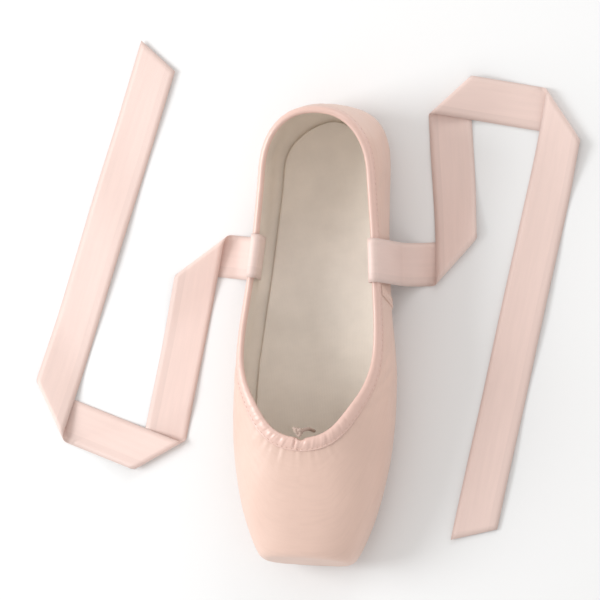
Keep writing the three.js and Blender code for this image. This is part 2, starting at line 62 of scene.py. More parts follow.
# The last, as in the frame. Its ribs fan out from a spine inside the shoe, whose ends TOE_FAN and HEEL_FAN
# are distances from the platform. The squares say how boxy a section is: 2 is an ellipse.
WAIST_HEIGHT = 20
PLATFORM_EDGE = 2.6
PLATFORM_LEAN = math.radians(10)
PLATFORM_FOOT = 10
LEAN_REACH = 34
HEEL_CUP = 38
LASTING_MARGIN = 8
GAP = 0.3
TOE_FAN = 92
HEEL_FAN = 194
SPINE_HEIGHT = 21
SPINE_STEPS = 300
RIB_SCAN = 160
SMALLEST_OPENING = 3
SLOPE_STEP = 0.05
LOWEST = -5
SQUARE_WIDTH = {"low": 3, "high": 2.2}
SQUARE_HEEL = {"low": 3, "high": 2.4}
SQUARE_BLEND = {"low": 8, "high": 34}
SQUARE_CROWN = 2
SQUARE_SOLE = {"toe": 3, "heel": 5}
HEELWARDS = {"start": 0.52, "end": 0.82}

# Outsole and insole: each runs from its tip to its back, with rounded ends. The outsole's are distances
# from the platform, and the insole takes a share of the last's width.
SOLE = {
    "tip": 29,
    "back": 226,
    "tip_round": 15,
    "tip_square": 2.6,
    "back_round": 20,
    "back_square": 2.3,
    "edge": 1.1,
    "rows": 170,
}
SOLE_RIM = {"dark": 0.2, "clear": 1.1}
SKIVE = {"share": 0.3, "reach": 18}
SOLE_OUTLINE = {
    "along": (0.0, 0.05, 0.12, 0.22, 0.33, 0.45, 0.56, 0.66, 0.78, 0.9, 1.0),
    "width": (0.5, 0.56, 0.64, 0.69, 0.66, 0.5, 0.36, 0.33, 0.42, 0.51, 0.53),
}
INSOLE = {
    "share": 0.8,
    "lift": 2.1,
    "tip_round": 22,
    "tip_square": 2.6,
    "back_round": 24,
    "back_square": 2.3,
    "edge": 1.2,
    "rows": 150,
}
INSOLE_PAD = {"height": 0.0375, "across": 12, "waves": ((41, 1, 0.4), (23, 0.5, 2))}
PLATE_COLUMNS = 33

# Binding and side seams, as in the frame.
BINDING_WIDTH = 7
SEAM = {"top": 139, "bottom": 127, "width": 5.5, "proud": 0.75, "thin": 0.15, "wall": 0.4}

# Tie ribbons, as in the frame: where each is sewn, its bend over the binding, its bend onto the floor,
# and its folds there.
RIBBON = {"start": 153, "inside": 24, "cut": math.radians(25), "thickness": 0.5, "cloth": 0.28}
RIBBON_OVER = {"radius": 2.5, "lean": math.radians(8), "centre": 1, "inset": 0.8}
RIBBON_FLOOR = {"radius": 12, "lean": math.radians(9.5), "lift": 0.1}
RIBBON_FOLD = {"radius": 2, "settle": math.radians(12), "settle_radius": 60}
LEFT_FOLDS = {"after": (11.5, 42, 20), "skew": (44, 38, -44)}
RIGHT_FOLDS = {"after": (13, 60, 21.5), "skew": (-47, -40, 47)}
RIBBON_WAVES = {"clear": 20, "still": 4, "full": 22, "reach": 17, "wander": 31, "height": 0.9, "cup": 0.25}
RIBBON_COLUMNS = 9
RIBBON_STEP = 3.5
RIBBON_BEND = {"degrees": 6, "fewest": 6}

# Drawstring, as in the frame: a trefoil knot, and one hanging end as distances from it.
DRAWSTRING = {"diameter": 1.8, "knot": 2.4, "inset": 0.8, "points": 60}
KNOT = {"scale": 0.58, "strand": 0.85, "depth": 0.75, "points": 72}
STRAND_SIDES = 10
DRAWSTRING_END = {
    "forward": (0, -1.2, -1.8, -1.6, -1),
    "aside": (0, 2.4, 3.6, 4.2, 4.6),
    "down": (0, 1.2, 4.4, 9, 15.8),
}

# Soft creases worn into the satin of the sides: both ends of each as distances from the platform and
# heights above the floor. The side is 1 on the left and -1 on the right.
CREASES = {
    "side": (1, 1, 1, -1, -1, -1, 1, -1, 1, -1, 1, -1, 1, -1),
    "start": (76, 86, 99, 74, 88, 103, 126, 124, 143, 146, 186, 190, 206, 203),
    "height": (45, 42, 38, 46, 41, 37, 13, 14, 27, 25, 37, 35, 26, 28),
    "to_start": (90, 101, 112, 90, 104, 115, 152, 150, 160, 166, 199, 204, 218, 216),
    "to_height": (31, 26, 25, 33, 27, 25, 9, 10, 17, 16, 22, 20, 14, 15),
    "width": (2.4, 2.2, 2.6, 2.6, 2.2, 2.4, 3.2, 3.0, 3.4, 3.0, 3.2, 3.4, 3.0, 2.8),
    "depth": (0.42, 0.5, 0.34, 0.3, 0.4, 0.3, 0.5, 0.44, 0.38, 0.34, 0.3, 0.34, 0.26, 0.24),
}
CREASE_RIDGE = {"share": 0.5, "away": 1.9}

# Pleats where the satin is gathered in under the toe, round a centre behind the outsole's tip, with the
# distances over which they fade.
PLEATS = {"centre": 58, "step": 0.2, "depth": 1.7, "proud": 0.35, "rise": 0.24, "fall": 1.8}
PLEATS_UNEVEN = ((9, 0.18), (23, 0.12))
PLEATS_FADE = {"off_sole": 2.5, "height": (7, 10.5), "back": (74, 93), "front": (106, 114)}


def last_sections(throat):
    """Sections of the last. "start" is the distance from the platform as a share of the length, "width"
    a share of the ball width, and "top" and "bottom" are shares of the instep height."""
    return {
        "start": (0.0, 0.015, 0.03, 0.062, 0.114, 0.177, 0.245, throat,
                  0.34, 0.41, 0.48, 0.56, 0.65, 0.74, 0.83, 1.0),
        "width": (0.565, 0.617, 0.662, 0.735, 0.83, 0.912, 0.972, 0.985,
                  1.0, 0.992, 0.95, 0.885, 0.825, 0.79, 0.765, 0.75),
        "top": (0.64, 0.675, 0.7, 0.74, 0.805, 0.885, 0.965, 1.0,
                1.075, 1.18, 1.3, 1.4, 1.46, 1.49, 1.5, 1.5),
        "bottom": (0.14, 0.105, 0.083, 0.06, 0.052, 0.05, 0.05, 0.05,
                   0.05, 0.05, 0.062, 0.1, 0.121, 0.092, 0.05, 0.05),
    }


def topline(throat, heel):
    """Height of the topline as a share of the instep height, "start" as in last_sections."""
    return {
        "start": (0.0, throat, 0.34, 0.4, 0.47, 0.55, 0.62, 0.69, 0.77, 0.87, 0.94, 1.0),
        "height": (1.3, 1.0, 0.958, 0.89, 0.83, 0.8, 0.794, 0.8, 0.85, 0.935, 1.0, heel),
    }


def curve(across, value):
    """A smooth curve through two columns of a table, with no overshoot between its rows."""
    at, value = np.array(across, float), np.array(value, float)
    step = np.diff(at)
    rise = np.diff(value) / step
    product = rise[:-1] * rise[1:]
    total = np.where(product > 0, rise[:-1] + rise[1:], 1)
    inner = np.where(product > 0, 2 * product / total, 0)
    slope = np.concatenate([rise[:1], inner, rise[-1:]])

    def read(x):
        u = np.clip(x, at[0], at[-1])
        i = np.clip(np.searchsorted(at, u, side="right") - 1, 0, len(at) - 2)
        t = (u - at[i]) / step[i]
        start = (value[i] * (1 + 2 * t) + step[i] * slope[i] * t) * (1 - t) ** 2
        end = (value[i + 1] * (3 - 2 * t) + step[i] * slope[i + 1] * (t - 1)) * t**2
        return start + end

    return read


def smooth(x, low, high):
    """Rises smoothly from 0 at low to 1 at high."""
    t = np.clip((x - low) / (high - low), 0, 1)
    return t * t * (3 - 2 * t)


def mix(a, b, t):
    return a + (b - a) * t


def turning_point(low, high, test, shape=()):
    """The values in a range at which a test turns true."""
    before, after = np.full(shape, float(low)), np.full(shape, float(high))
    for _ in range(30):
        middle = (before + after) / 2
        past = test(middle)
        after = np.where(past, middle, after)
        before = np.where(past, before, middle)
    return after


def rounded_ends(along, length, ends):
    """Share of the full width at places along a plate with a rounded tip and back."""
    tip = np.clip(1 - along / ends["tip_round"], 0, 1)
    back = np.clip(1 - (length - along) / ends["back_round"], 0, 1)
    return np.sqrt((1 - tip ** ends["tip_square"]) * (1 - back ** ends["back_square"]))


class Lines(NamedTuple):
    """Lines up the last: the points of each, from the sole to the topline, and its running lengths."""

    points: np.ndarray
    lengths: np.ndarray

    def ends(self):
        """The whole length of each line."""
        return self.lengths[:, -1:]


class Last:
    """The shoe's outer surface, the same as the frame's upper has."""

    def __init__(self, length, ball_width, instep, heel_height, vamp):
        self.length, self.ball_width, self.instep = length, ball_width, instep
        rows = last_sections(vamp / length)
        self.width = curve(rows["start"], rows["width"])
        self.top = curve(rows["start"], rows["top"])
        self.bottom = curve(rows["start"], rows["bottom"])
        rows = topline(vamp / length, heel_height / instep)
        self.topline = curve(rows["start"], rows["height"])
        self.sole_width = curve(SOLE_OUTLINE["along"], SOLE_OUTLINE["width"])

    def start(self, x):
        return self.length / 2 - x

    def field(self, x, y, z):
        """Below zero inside the last, above zero outside it."""
        start = self.start(x)
        # The platform leans back above its foot, and its rim is rounded.
        leaning = 1 - smooth(start, 0, LEAN_REACH)
        start = start - leaning * math.tan(PLATFORM_LEAN) * (z - PLATFORM_FOOT)
        into = np.clip(PLATFORM_EDGE - start, 0, PLATFORM_EDGE)
        edge = PLATFORM_EDGE - np.sqrt(PLATFORM_EDGE**2 - into**2)
        share = start / self.length
        # Each section is a rounded square in two halves, above and below the waist's height.
        half = self.ball_width / 2 * self.width(share) - edge
        top = self.instep * self.top(share) - edge
        bottom = self.instep * self.bottom(share) + edge
        above = z >= WAIST_HEIGHT
        reach = np.where(above, top - WAIST_HEIGHT, WAIST_HEIGHT - bottom)
        heelwards = smooth(share, HEELWARDS["start"], HEELWARDS["end"])
        sole = mix(SQUARE_SOLE["toe"], SQUARE_SOLE["heel"], heelwards)
        upwards = smooth(z, SQUARE_BLEND["low"], SQUARE_BLEND["high"])
        width = mix(SQUARE_WIDTH["low"], SQUARE_WIDTH["high"], upwards)
        heel = mix(SQUARE_HEEL["low"], SQUARE_HEEL["high"], upwards)
        into_heel = np.maximum((start - self.length) / HEEL_CUP + 1, 0)
        rounded = (
            (np.abs(y) / half) ** width
            + (np.abs(z - WAIST_HEIGHT) / reach) ** np.where(above, SQUARE_CROWN, sole)
            + into_heel**heel
        )
        return np.maximum(rounded - 1, -start / self.ball_width)

    def outward(self, points):
        """The last's outward directions at points of its surface."""
        x, y, z = np.moveaxis(points, -1, 0)
        h = SLOPE_STEP
        slopes = [
            self.field(x + h, y, z) - self.field(x - h, y, z),
            self.field(x, y + h, z) - self.field(x, y - h, z),
            self.field(x, y, z + h) - self.field(x, y, z - h),
        ]
        normal = np.stack(slopes, axis=-1)
        return normal / np.linalg.norm(normal, axis=-1, keepdims=True)

    def underside(self, x, y):
        """Heights of the last's underside at places in plan."""
        return turning_point(LOWEST, WAIST_HEIGHT, lambda z: self.field(x, y, z) < 0, np.shape(x))

    def sole_half(self, x):
        """Half widths of the outsole at places along X, or below zero past its ends."""
        length = SOLE["back"] - SOLE["tip"]
        along = self.start(x) - SOLE["tip"]
        half = self.ball_width / 2 * self.sole_width(along / length) * rounded_ends(along, length, SOLE)
        return np.where((along < 0) | (along > length), -1, half)

    def side(self, start, height, side):
        """A point on the outside of one side, from its distance to the platform and its height."""
        x = self.length / 2 - start
        aside = turning_point(0, self.ball_width, lambda y: self.field(x, y, height) > 0)
        return np.array([x, side * aside, height])

    def surface(self, foot, angle, above):
        """Where rays leave the last, from the spine at angles in plan and above level."""
        ray = np.stack(
            [np.cos(above) * np.cos(angle), np.cos(above) * np.sin(angle), np.sin(above)], axis=-1
        )
        spine = np.stack([foot, np.zeros_like(foot), np.full_like(foot, SPINE_HEIGHT)], axis=-1)

        def outside(distance):
            p = spine + ray * distance[..., None]
            return self.field(p[..., 0], p[..., 1], p[..., 2]) > 0

        distance = turning_point(0, self.length, outside, above.shape)
        return spine + ray * distance[..., None]

    def ribs(self, count):
        """Feet and angles of ribs evenly round the shoe, from the middle of the toe by the left side."""
        toe, heel = self.length / 2 - TOE_FAN, self.length / 2 - HEEL_FAN
        n = SPINE_STEPS
        steps = np.linspace(0, 1, n)
        foot = np.concatenate([np.full(n, toe), mix(toe, heel, steps[1:]), np.full(n - 1, heel)])
        turn = np.concatenate([steps, np.ones(n - 1), 1 + steps[1:]]) * math.pi / 2

        def outside(distance):
            x, y = foot + distance * np.cos(turn), distance * np.sin(turn)
            return self.field(x, y, np.full_like(x, WAIST_HEIGHT)) > 0

        reach = turning_point(0, self.length, outside, foot.shape)
        outline = np.stack([foot + reach * np.cos(turn), reach * np.sin(turn)], axis=-1)
        along = np.concatenate([[0], np.cumsum(np.linalg.norm(np.diff(outline, axis=0), axis=1))])
        at = np.linspace(0, along[-1], count // 2 + 1)
        foot, turn = np.interp(at, along, foot), np.interp(at, along, turn)
        return np.concatenate([foot, foot[-2:0:-1]]), np.concatenate([turn, -turn[-2:0:-1]])

    def lines(self, foot, angle):
        """Lines along ribs, from the opening underneath up to the topline."""
        foot, angle = np.asarray(foot, float), np.asarray(angle, float)

        def past_sole(distance):
            x, y = foot + distance * np.cos(angle), distance * np.sin(angle)
            return np.abs(y) > self.sole_half(x)

        sole = turning_point(0, self.length, past_sole, foot.shape)
        margin = np.maximum(sole - LASTING_MARGIN, SMALLEST_OPENING)

        def past_margin(above):
            p = self.surface(foot, angle, above)
            return np.hypot(p[..., 0] - foot, p[..., 1]) > margin

        def past_topline(above):
            p = self.surface(foot, angle, above)
            return p[..., 2] > self.instep * self.topline(self.start(p[..., 0]) / self.length)

        low = turning_point(-math.pi / 2, 0, past_margin, foot.shape)
        high = turning_point(0, math.pi / 2, past_topline, foot.shape)
        share = np.linspace(0, 1, RIB_SCAN + 1)
        above = low[:, None] + (high - low)[:, None] * share
        points = self.surface(foot[:, None] + 0 * above, angle[:, None] + 0 * above, above)
        pieces = np.linalg.norm(np.diff(points, axis=1), axis=2)
        lengths = np.concatenate([np.zeros((len(foot), 1)), np.cumsum(pieces, axis=1)], axis=1)
        return Lines(points, lengths)


def places(lines, at):
    """Points at lengths along lines, one row of lengths for each line."""
    rows = [
        [np.interp(row, lengths, points[:, k]) for k in range(3)]
        for row, points, lengths in zip(at, lines.points, lines.lengths)
    ]
    return np.moveaxis(np.array(rows), 1, 2)


@functools.cache
def last_for(length, ball_width, instep, heel_height, vamp):
    """The last of those sizes, worked out once."""
    return Last(length, ball_width, instep, heel_height, vamp)


@functools.cache
def rib_lines(last, count):
    """Lines along ribs round the shoe, with the topline's running length from the throat at each rib:
    above zero on the left side and below it on the right."""
    foot, angle = last.ribs(count)
    lines = last.lines(foot, angle)
    top = lines.points[: count // 2 + 1, -1]
    half = np.concatenate([[0], np.cumsum(np.linalg.norm(np.diff(top, axis=0), axis=1))])
    return lines, np.concatenate([half, -half[-2:0:-1]])


def shoe_last(context):
    """The last of the panel's sizes."""
    sizes = context.scene.pointe_sizes
    return last_for(
        sizes.length / MM,
        sizes.ball_width / MM,
        sizes.instep / MM,
        sizes.heel_height / MM,
        sizes.vamp / MM,
    )


def lengths_along(points, axis):
    """Running lengths along one axis of a grid of points, averaged over the other."""
    pieces = np.linalg.norm(np.diff(points, axis=axis), axis=-1).mean(axis=1 - axis)
    return np.concatenate([[0], np.cumsum(pieces)])


def grid_mesh(name, points, closed_rows=False, closed_columns=False):
    """A mesh whose grid of faces passes through rows and columns of points, with a UV map in metres."""
    if closed_rows:
        points = np.concatenate([points, points[:1]], axis=0)
    if closed_columns:
        points = np.concatenate([points, points[:, :1]], axis=1)
    rows, columns = points.shape[0] - 1, points.shape[1] - 1
    u, v = lengths_along(points, 0) * MM, lengths_along(points, 1) * MM
    bm = bmesh.new()
    uv = bm.loops.layers.uv.new("UVMap")
    bmesh.ops.create_grid(bm, x_segments=columns, y_segments=rows, size=1)
    for vert in bm.verts:
        column = round((vert.co.x + 1) / 2 * columns)
        row = round((vert.co.y + 1) / 2 * rows)
        for loop in vert.link_loops:
            loop[uv].uv = (u[row], v[column])
        vert.co = Vector(points[row, column]) * MM
    bmesh.ops.remove_doubles(bm, verts=bm.verts, dist=1e-6)
    bmesh.ops.dissolve_degenerate(bm, edges=bm.edges, dist=1e-7)
    return finished(name, bm)


def finished(name, bm):
    """A smooth object from a bmesh."""
    if not bm.faces:
        raise RuntimeError(f"{name} has no faces")
    for face in bm.faces:
        face.smooth = True
    mesh = bpy.data.meshes.new(name)
    bm.to_mesh(mesh)
    bm.free()
    piece = bpy.data.objects.new(name, mesh)
    bpy.context.scene.collection.objects.link(piece)
    return piece


def turned_out(piece):
    """Closes a piece's ends and turns its faces outwards."""
    bm = bmesh.new()
    bm.from_mesh(piece.data)
    bmesh.ops.holes_fill(bm, edges=bm.edges, sides=0)
    bmesh.ops.recalc_face_normals(bm, faces=bm.faces)
    bm.to_mesh(piece.data)
    bm.free()
    return piece


def placed(piece, slot, materials, *nodes):
    """Gives a piece its materials and its body, and hides the frame's parts that it stands for. The slot is
    not used.
    """
    for material in materials:
        piece.data.materials.append(material)
    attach(piece, BODY)
    if nodes:
        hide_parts(*nodes)
    return piece


def walled(piece, thickness, offset, inner_material=0):
    """A wall on a piece's faces: offset -1 grows it inwards, 1 outwards."""
    wall = piece.modifiers.new("Wall", "SOLIDIFY")
    wall.thickness = thickness * MM
    wall.offset = offset
    wall.material_offset = inner_material
    return piece


# Finishes.


class Finish:
    """A material's nodes, with short ways to add and join them."""

    def __init__(self, name, **settings):
        self.material = bpy.data.materials.new(name)
        self.material.use_nodes = True
        self.tree = self.material.node_tree
        self.shader = self.tree.nodes["Principled BSDF"]
        for socket, value in settings.items():
            self.shader.inputs[socket.replace("_", " ")].default_value = value
        self.coords = self.tree.nodes.new("ShaderNodeTexCoord")

    def add(self, kind, inputs=(), **settings):
        """A node whose inputs are each joined to a socket or set to a value."""
        node = self.tree.nodes.new("ShaderNode" + kind)
        for key, value in settings.items():
            setattr(node, key, value)
        for socket, value in dict(inputs).items():
            if isinstance(value, bpy.types.NodeSocket):
                self.tree.links.new(value, node.inputs[socket])
            else:
                node.inputs[socket].default_value = value
        return node

    def set(self, socket, value):
        self.tree.links.new(value, self.shader.inputs[socket])

    def stretched(self, coordinate, scale):
        return self.add("Mapping", {"Vector": self.coords.outputs[coordinate], "Scale": scale}).outputs[0]

    def noise(self, vector, scale, detail=3):
        inputs = {"Vector": vector, "Scale": scale, "Detail": detail}
        return self.add("TexNoise", inputs).outputs["Fac"]

    def stretched_noise(self, scale):
        """Noise drawn out along the piece's UV map."""
        return self.noise(self.stretched("UV", scale), 1.0)

    def wave(self, vector, period, direction):
        """Bands a period apart, in metres."""
        inputs = {"Vector": vector, "Scale": 2 * math.pi / (20 * period)}
        return self.add("TexWave", inputs, bands_direction=direction).outputs["Fac"]

    def range(self, value, low, high, to_low=0.0, to_high=1.0):
        inputs = {"Value": value, "From Min": low, "From Max": high, "To Min": to_low, "To Max": to_high}
        return self.add("MapRange", inputs).outputs[0]

    def maths(self, operation, a, b=0.0):
        return self.add("Math", {0: a, 1: b}, operation=operation).outputs[0]

    def blend(self, factor, a, b):
        node = self.add("Mix", data_type="RGBA")
        for socket, value in (("Factor", factor), ("A", a), ("B", b)):
            sockets = [s for s in node.inputs if s.name == socket and s.enabled]
            if isinstance(value, bpy.types.NodeSocket):
                self.tree.links.new(value, sockets[0])
            else:
                sockets[0].default_value = value
        return next(s for s in node.outputs if s.enabled)

    def bump(self, height, distance, normal=None):
        inputs = {"Height": height, "Distance": distance, "Strength": 1.0}
        if normal is not None:
            inputs["Normal"] = normal
        return self.add("Bump", inputs).outputs[0]


def shade(colour, factor):
    """A lighter or darker tone of a colour."""
    return (*[min(channel * factor, 1) for channel in colour[:3]], 1)


# Weaves and darkening near the floor, in metres: the thread's pitch, the height that it stands proud, and
# the heights above the floor between which the darkening fades. Slubs, ripples and streaks are scales of
# noise along the UV map.
SATIN = {
    "thread": 0.0003,
    "proud": 0.00001,
    "ripple": 0.00022,
    "ripples": (90, 260, 1),
    "slubs": (60, 900, 1),
}
LOW_DARKENING = {"top": 0.012, "full": 0.002, "share": 0.5, "tone": (0.62, 0.6, 0.58)}
COTTON = {"thread": 0.0006, "proud": 0.00004}
CORD_THREAD = 0.0004
SEWING_THREAD = 0.0002
RIBBON_WEAVE = {"rib": 0.0004, "proud": 0.00003, "selvage": (0.0098, 0.0103), "streaks": (40, 400, 1)}


def satin_finish(name, colour):
    """Satin: a close smooth weave with a soft lustre, faint slubs and a darker tone in patches towards the
    floor.
    """
    lustre = {"Anisotropic": 0.5, "Anisotropic_Rotation": 0.25, "Specular_IOR_Level": 0.8}
    finish = Finish(name, Roughness=0.34, Sheen_Weight=0.04, **lustre)
    finish.set("Tangent", finish.add("Tangent", direction_type="UV_MAP", uv_map="UVMap").outputs[0])
    place = finish.coords.outputs["Object"]
    tone = finish.noise(place, 26)
    base = finish.blend(finish.range(tone, 0.3, 0.7), shade(colour, 0.95), shade(colour, 1.03))
    slub = finish.stretched_noise(SATIN["slubs"])
    base = finish.blend(finish.range(slub, 0.45, 0.75, 0, 0.35), base, shade(colour, 0.88))
    # The satin turns darker in patches within a little way of the floor.
    height = finish.add("SeparateXYZ", {0: place}).outputs["Z"]
    low = finish.range(height, LOW_DARKENING["top"], LOW_DARKENING["full"])
    patches = finish.range(finish.noise(place, 120, detail=4), 0.35, 0.7)
    near_floor_darkening = finish.maths("MULTIPLY", finish.maths("MULTIPLY", low, patches), LOW_DARKENING["share"])
    darker_tone = (*[channel * share for channel, share in zip(colour, LOW_DARKENING["tone"])], 1)
    finish.set("Base Color", finish.blend(near_floor_darkening, base, darker_tone))
    weave = finish.wave(finish.coords.outputs["UV"], SATIN["thread"], "DIAGONAL")
    woven = finish.bump(weave, SATIN["proud"])
    finish.set("Normal", finish.bump(finish.stretched_noise(SATIN["ripples"]), SATIN["ripple"], woven))
    return finish.material


def cotton_finish(name, colour, thread, roughness=0.9):
    """Plain woven cotton."""
    finish = Finish(name, Roughness=roughness, Sheen_Weight=0.2)
    tone = finish.noise(finish.coords.outputs["Object"], 60, detail=4)
    warp = finish.wave(finish.coords.outputs["UV"], thread, "X")
    weft = finish.wave(finish.coords.outputs["UV"], thread, "Y")
    weave = finish.maths("MAXIMUM", warp, weft)
    base = finish.blend(finish.range(tone, 0.3, 0.7), shade(colour, 0.93), shade(colour, 1.04))
    base = finish.blend(finish.range(weave, 0.2, 0.9, 0.25, 0), base, shade(colour, 0.8))
    finish.set("Base Color", base)
    finish.set("Normal", finish.bump(weave, COTTON["proud"]))
    return finish.material


# Pits of the forefoot sole, in staggered rows, in metres: their pitch along the shoe and across it, how far
# they wander, where along the shoe they begin, and their depth.
PITS = {"along": 0.0034, "across": 0.003, "wander": 0.0024, "begin": (-0.034, -0.024), "depth": 0.0006}


def outsole_finish(colour, edge_colour):
    """Split leather: pitted in rows under the forefoot, the pits darkened with painted shade, smooth at
    arch and heel, with a burnished edge.
    """
    finish = Finish("outsole_leather", Roughness=0.78)
    place = finish.coords.outputs["Object"]
    x = finish.add("SeparateXYZ", {0: place}).outputs["X"]
    forefoot = finish.range(x, *PITS["begin"])
    wander = finish.add("TexNoise", {"Vector": place, "Scale": 90.0}).outputs["Color"]
    amount = (PITS["wander"], PITS["wander"], 0)
    uneven = finish.add("VectorMath", {0: wander, 1: amount, 2: place}, operation="MULTIPLY_ADD")
    rows = finish.add("SeparateXYZ", {0: uneven.outputs[0]})

    def pitch(axis, length):
        return finish.maths("COSINE", finish.maths("MULTIPLY", rows.outputs[axis], 2 * math.pi / length))

    staggered = finish.maths("MULTIPLY", pitch("X", PITS["along"]), pitch("Y", PITS["across"]))
    pits = finish.range(staggered, 0.75, 0.2)
    nap = finish.noise(place, 900)
    worn = finish.noise(place, 45)
    smooth_leather = finish.blend(finish.range(worn, 0.3, 0.7), shade(colour, 1.1), shade(colour, 1.28))
    # Painted shade: the pits are coloured darker than the leather round them.
    pits_with_painted_shade = finish.blend(pits, shade(colour, 0.72), shade(colour, 1.1))
    base = finish.blend(forefoot, smooth_leather, pits_with_painted_shade)
    edge = finish.add("VertexColor", layer_name="edge").outputs["Color"]
    finish.set("Base Color", finish.blend(edge, base, edge_colour))
    pitting = finish.maths("MULTIPLY", pits, forefoot)
    relief = finish.maths("ADD", pitting, finish.maths("MULTIPLY", nap, 0.15))
    finish.set("Normal", finish.bump(relief, PITS["depth"]))
    return finish.material


# The pieces.


def sines(at, *waves):
    """A sum of sines: each wave has a period, a height and a shift."""
    return sum(height * np.sin(2 * math.pi * at / period + shift) for period, height, shift in waves)


UPPER_RIBS = 600
UPPER_POINTS = 64
WALL_TOP = 1.9

# Gathers of the topline: waves as period, height and shift, and what spaces them unevenly as reach, amount
# and shift. The puckers that they leave in the satin are strongest a little way below the topline.
GATHERS = ((3.9, 0.5, 0.3), (6.1, 0.35, 1.9), (2.5, 0.22, 0.8))
GATHERS_UNEVEN = ((9.7, 0.55, 0), (4.3, 0.4, 1))
PUCKERS = {"throat": 0.12, "sides": 0.05, "throat_reach": 34, "below": 7, "reach": 6}
BACK_SEAM = {"half_width": 0.9, "depth": 0.3, "from": -90}


def gathers(edge):
    """Uneven gathers along the topline, from its running length."""
    uneven = sum(amount * np.sin(edge / reach + shift) for reach, amount, shift in GATHERS_UNEVEN)
    return sines(edge + uneven, *GATHERS)


def throat_share(edge, reach):
    """1 at the middle of the throat, falling towards the sides."""
    return np.exp(-((edge / reach) ** 2))


def table_rows(table):
    """The rows of a table of named columns."""
    return [dict(zip(table, values)) for values in zip(*table.values())]


def crease_relief(last, points):
    """Worn creases: each a soft trough between two low ridges."""
    relief = np.zeros(points.shape[:-1])
    for row in table_rows(CREASES):
        start = last.side(row["start"], row["height"], row["side"])
        end = last.side(row["to_start"], row["to_height"], row["side"])
        span = end - start
        along = np.clip((points - start) @ span / (span @ span), 0, 1)
        away = np.linalg.norm(points - start - along[..., None] * span, axis=-1) / row["width"]
        ridge = CREASE_RIDGE["share"] * np.exp(-((away - CREASE_RIDGE["away"]) ** 2))
        trough = np.exp(-(away**2))
        relief += row["depth"] * (ridge - trough) * (1 - (2 * along - 1) ** 4)
    return relief


def pleat_relief(last, points):
    """Pleats that run from the outsole's tip towards the edge of the platform and end short of it."""
    x, y, z = np.moveaxis(points, -1, 0)
    bearing = np.arctan2(y, x - (last.length / 2 - PLEATS["centre"]))
    uneven = sum(amount * np.sin(bearing * rate) for rate, amount in PLEATS_UNEVEN)
    fold = (np.abs(bearing) / PLEATS["step"] + uneven) % 1
    notch = smooth(fold, 0, PLEATS["rise"]) * (1 - fold) ** PLEATS["fall"]
    sole = last.sole_half(x)
    off_sole = np.where(sole < 0, math.inf, np.abs(y) - sole)
    shown = smooth(off_sole, 0, PLEATS_FADE["off_sole"]) * (1 - smooth(z, *PLEATS_FADE["height"]))
    shown = shown * smooth(x, *PLEATS_FADE["back"]) * (1 - smooth(x, *PLEATS_FADE["front"]))
    return (PLEATS["proud"] - PLEATS["depth"] * notch) * shown


def upper_relief(last, points, below, edge):
    """How far the satin stands in or out of the last."""
    x, y, _ = np.moveaxis(points, -1, 0)
    strength = PUCKERS["throat"] * throat_share(edge, PUCKERS["throat_reach"]) + PUCKERS["sides"]
    away = np.abs(below - PUCKERS["below"]) / PUCKERS["reach"]
    puckers = gathers(edge) * strength * np.exp(-(away**1.3))
    back_seam = np.exp(-((y / BACK_SEAM["half_width"]) ** 2)) * (x < BACK_SEAM["from"])
    relief = puckers - BACK_SEAM["depth"] * back_seam
    return relief + crease_relief(last, points) + pleat_relief(last, points)


def build_upper(context):
    last = shoe_last(context)
    sizes, colours = context.scene.pointe_sizes, context.scene.pointe_colours
    lines, edge = rib_lines(last, UPPER_RIBS)
    at = (lines.ends() - WALL_TOP) * np.linspace(0, 1, UPPER_POINTS)
    points = places(lines, at)
    relief = upper_relief(last, points, lines.ends() - at, edge[:, None])
    piece = grid_mesh("shoe_upper", points + last.outward(points) * relief[..., None], closed_rows=True)
    face_outwards(piece)
    lining = cotton_finish("lining", colours.lining, COTTON["thread"])
    placed(piece, "satin", [upper_satin(colours), lining], "upper")
    walled(piece, sizes.wall / MM, -1, inner_material=1)
    return piece


def upper_satin(colours):
    return bpy.data.materials.get("upper_satin") or satin_finish("upper_satin", colours.satin)


def face_outwards(piece):
    """Flips a shell whose faces point into the shoe."""
    middle = Vector((0, 0, WAIST_HEIGHT * MM))
    inward = sum(
        1 if face.normal.dot(face.center - middle) < 0 else -1 for face in piece.data.polygons
    )
    if inward > 0:
        piece.data.flip_normals()


BINDING_POINTS = {
    "below": (6.8, 6.3, 5.9, 5.5, 4.9, 4.0, 3.0, 2.0, 1.1, 0.4, 0.0, 0.4, 1.1, 2.0, 3.2, 4.4, 5.4,
              6.1, 6.8, 6.8, 4.4, 2.2, 2.2, 4.4, 6.8),
    "out": (0.55, 0.5, 0.4, 0.46, 0.74, 0.92, 1.0, 0.92, 0.6, 0.0, -0.8, -1.6, -2.2, -2.5, -2.5,
            -2.3, -2.05, -2.1, -2.15, -1.85, -1.85, -1.85, 0.25, 0.25, 0.25),
}

# Where the binding's ends meet at the throat: a slit, a notch in its top edge and a dimple at its foot,
# each with its place along the topline, its half width and its depth.
BINDING_SLIT = {"at": -1.8, "width": 0.5, "depth": 0.7, "foot": (4.6, 6)}
BINDING_NOTCH = {"at": 1.1, "width": 2.1, "depth": 1.4, "reach": 4}
BINDING_DIMPLE = {"at": 0.1, "below": 6, "width": 0.8, "depth": 0.6}

# Crumples of the binding: strongest at the throat and halfway down its fold, with finer waves over them.
# Only the outer face has them, above its foot.
CRUMPLES = {"sides": 0.07, "throat": 0.17, "throat_reach": 42, "fold": 6, "slant": 0.25, "fine_slant": 0.4}
FINE_CRUMPLES = ((1.9, 0.25, 0.5), (1.35, 0.15, 2.1))
OUTER_FACE = {"inmost": -1.7, "foot": 6.5, "turn": -0.8}
BINDING_SEWING = {"below": 5.9, "out": 0.46}


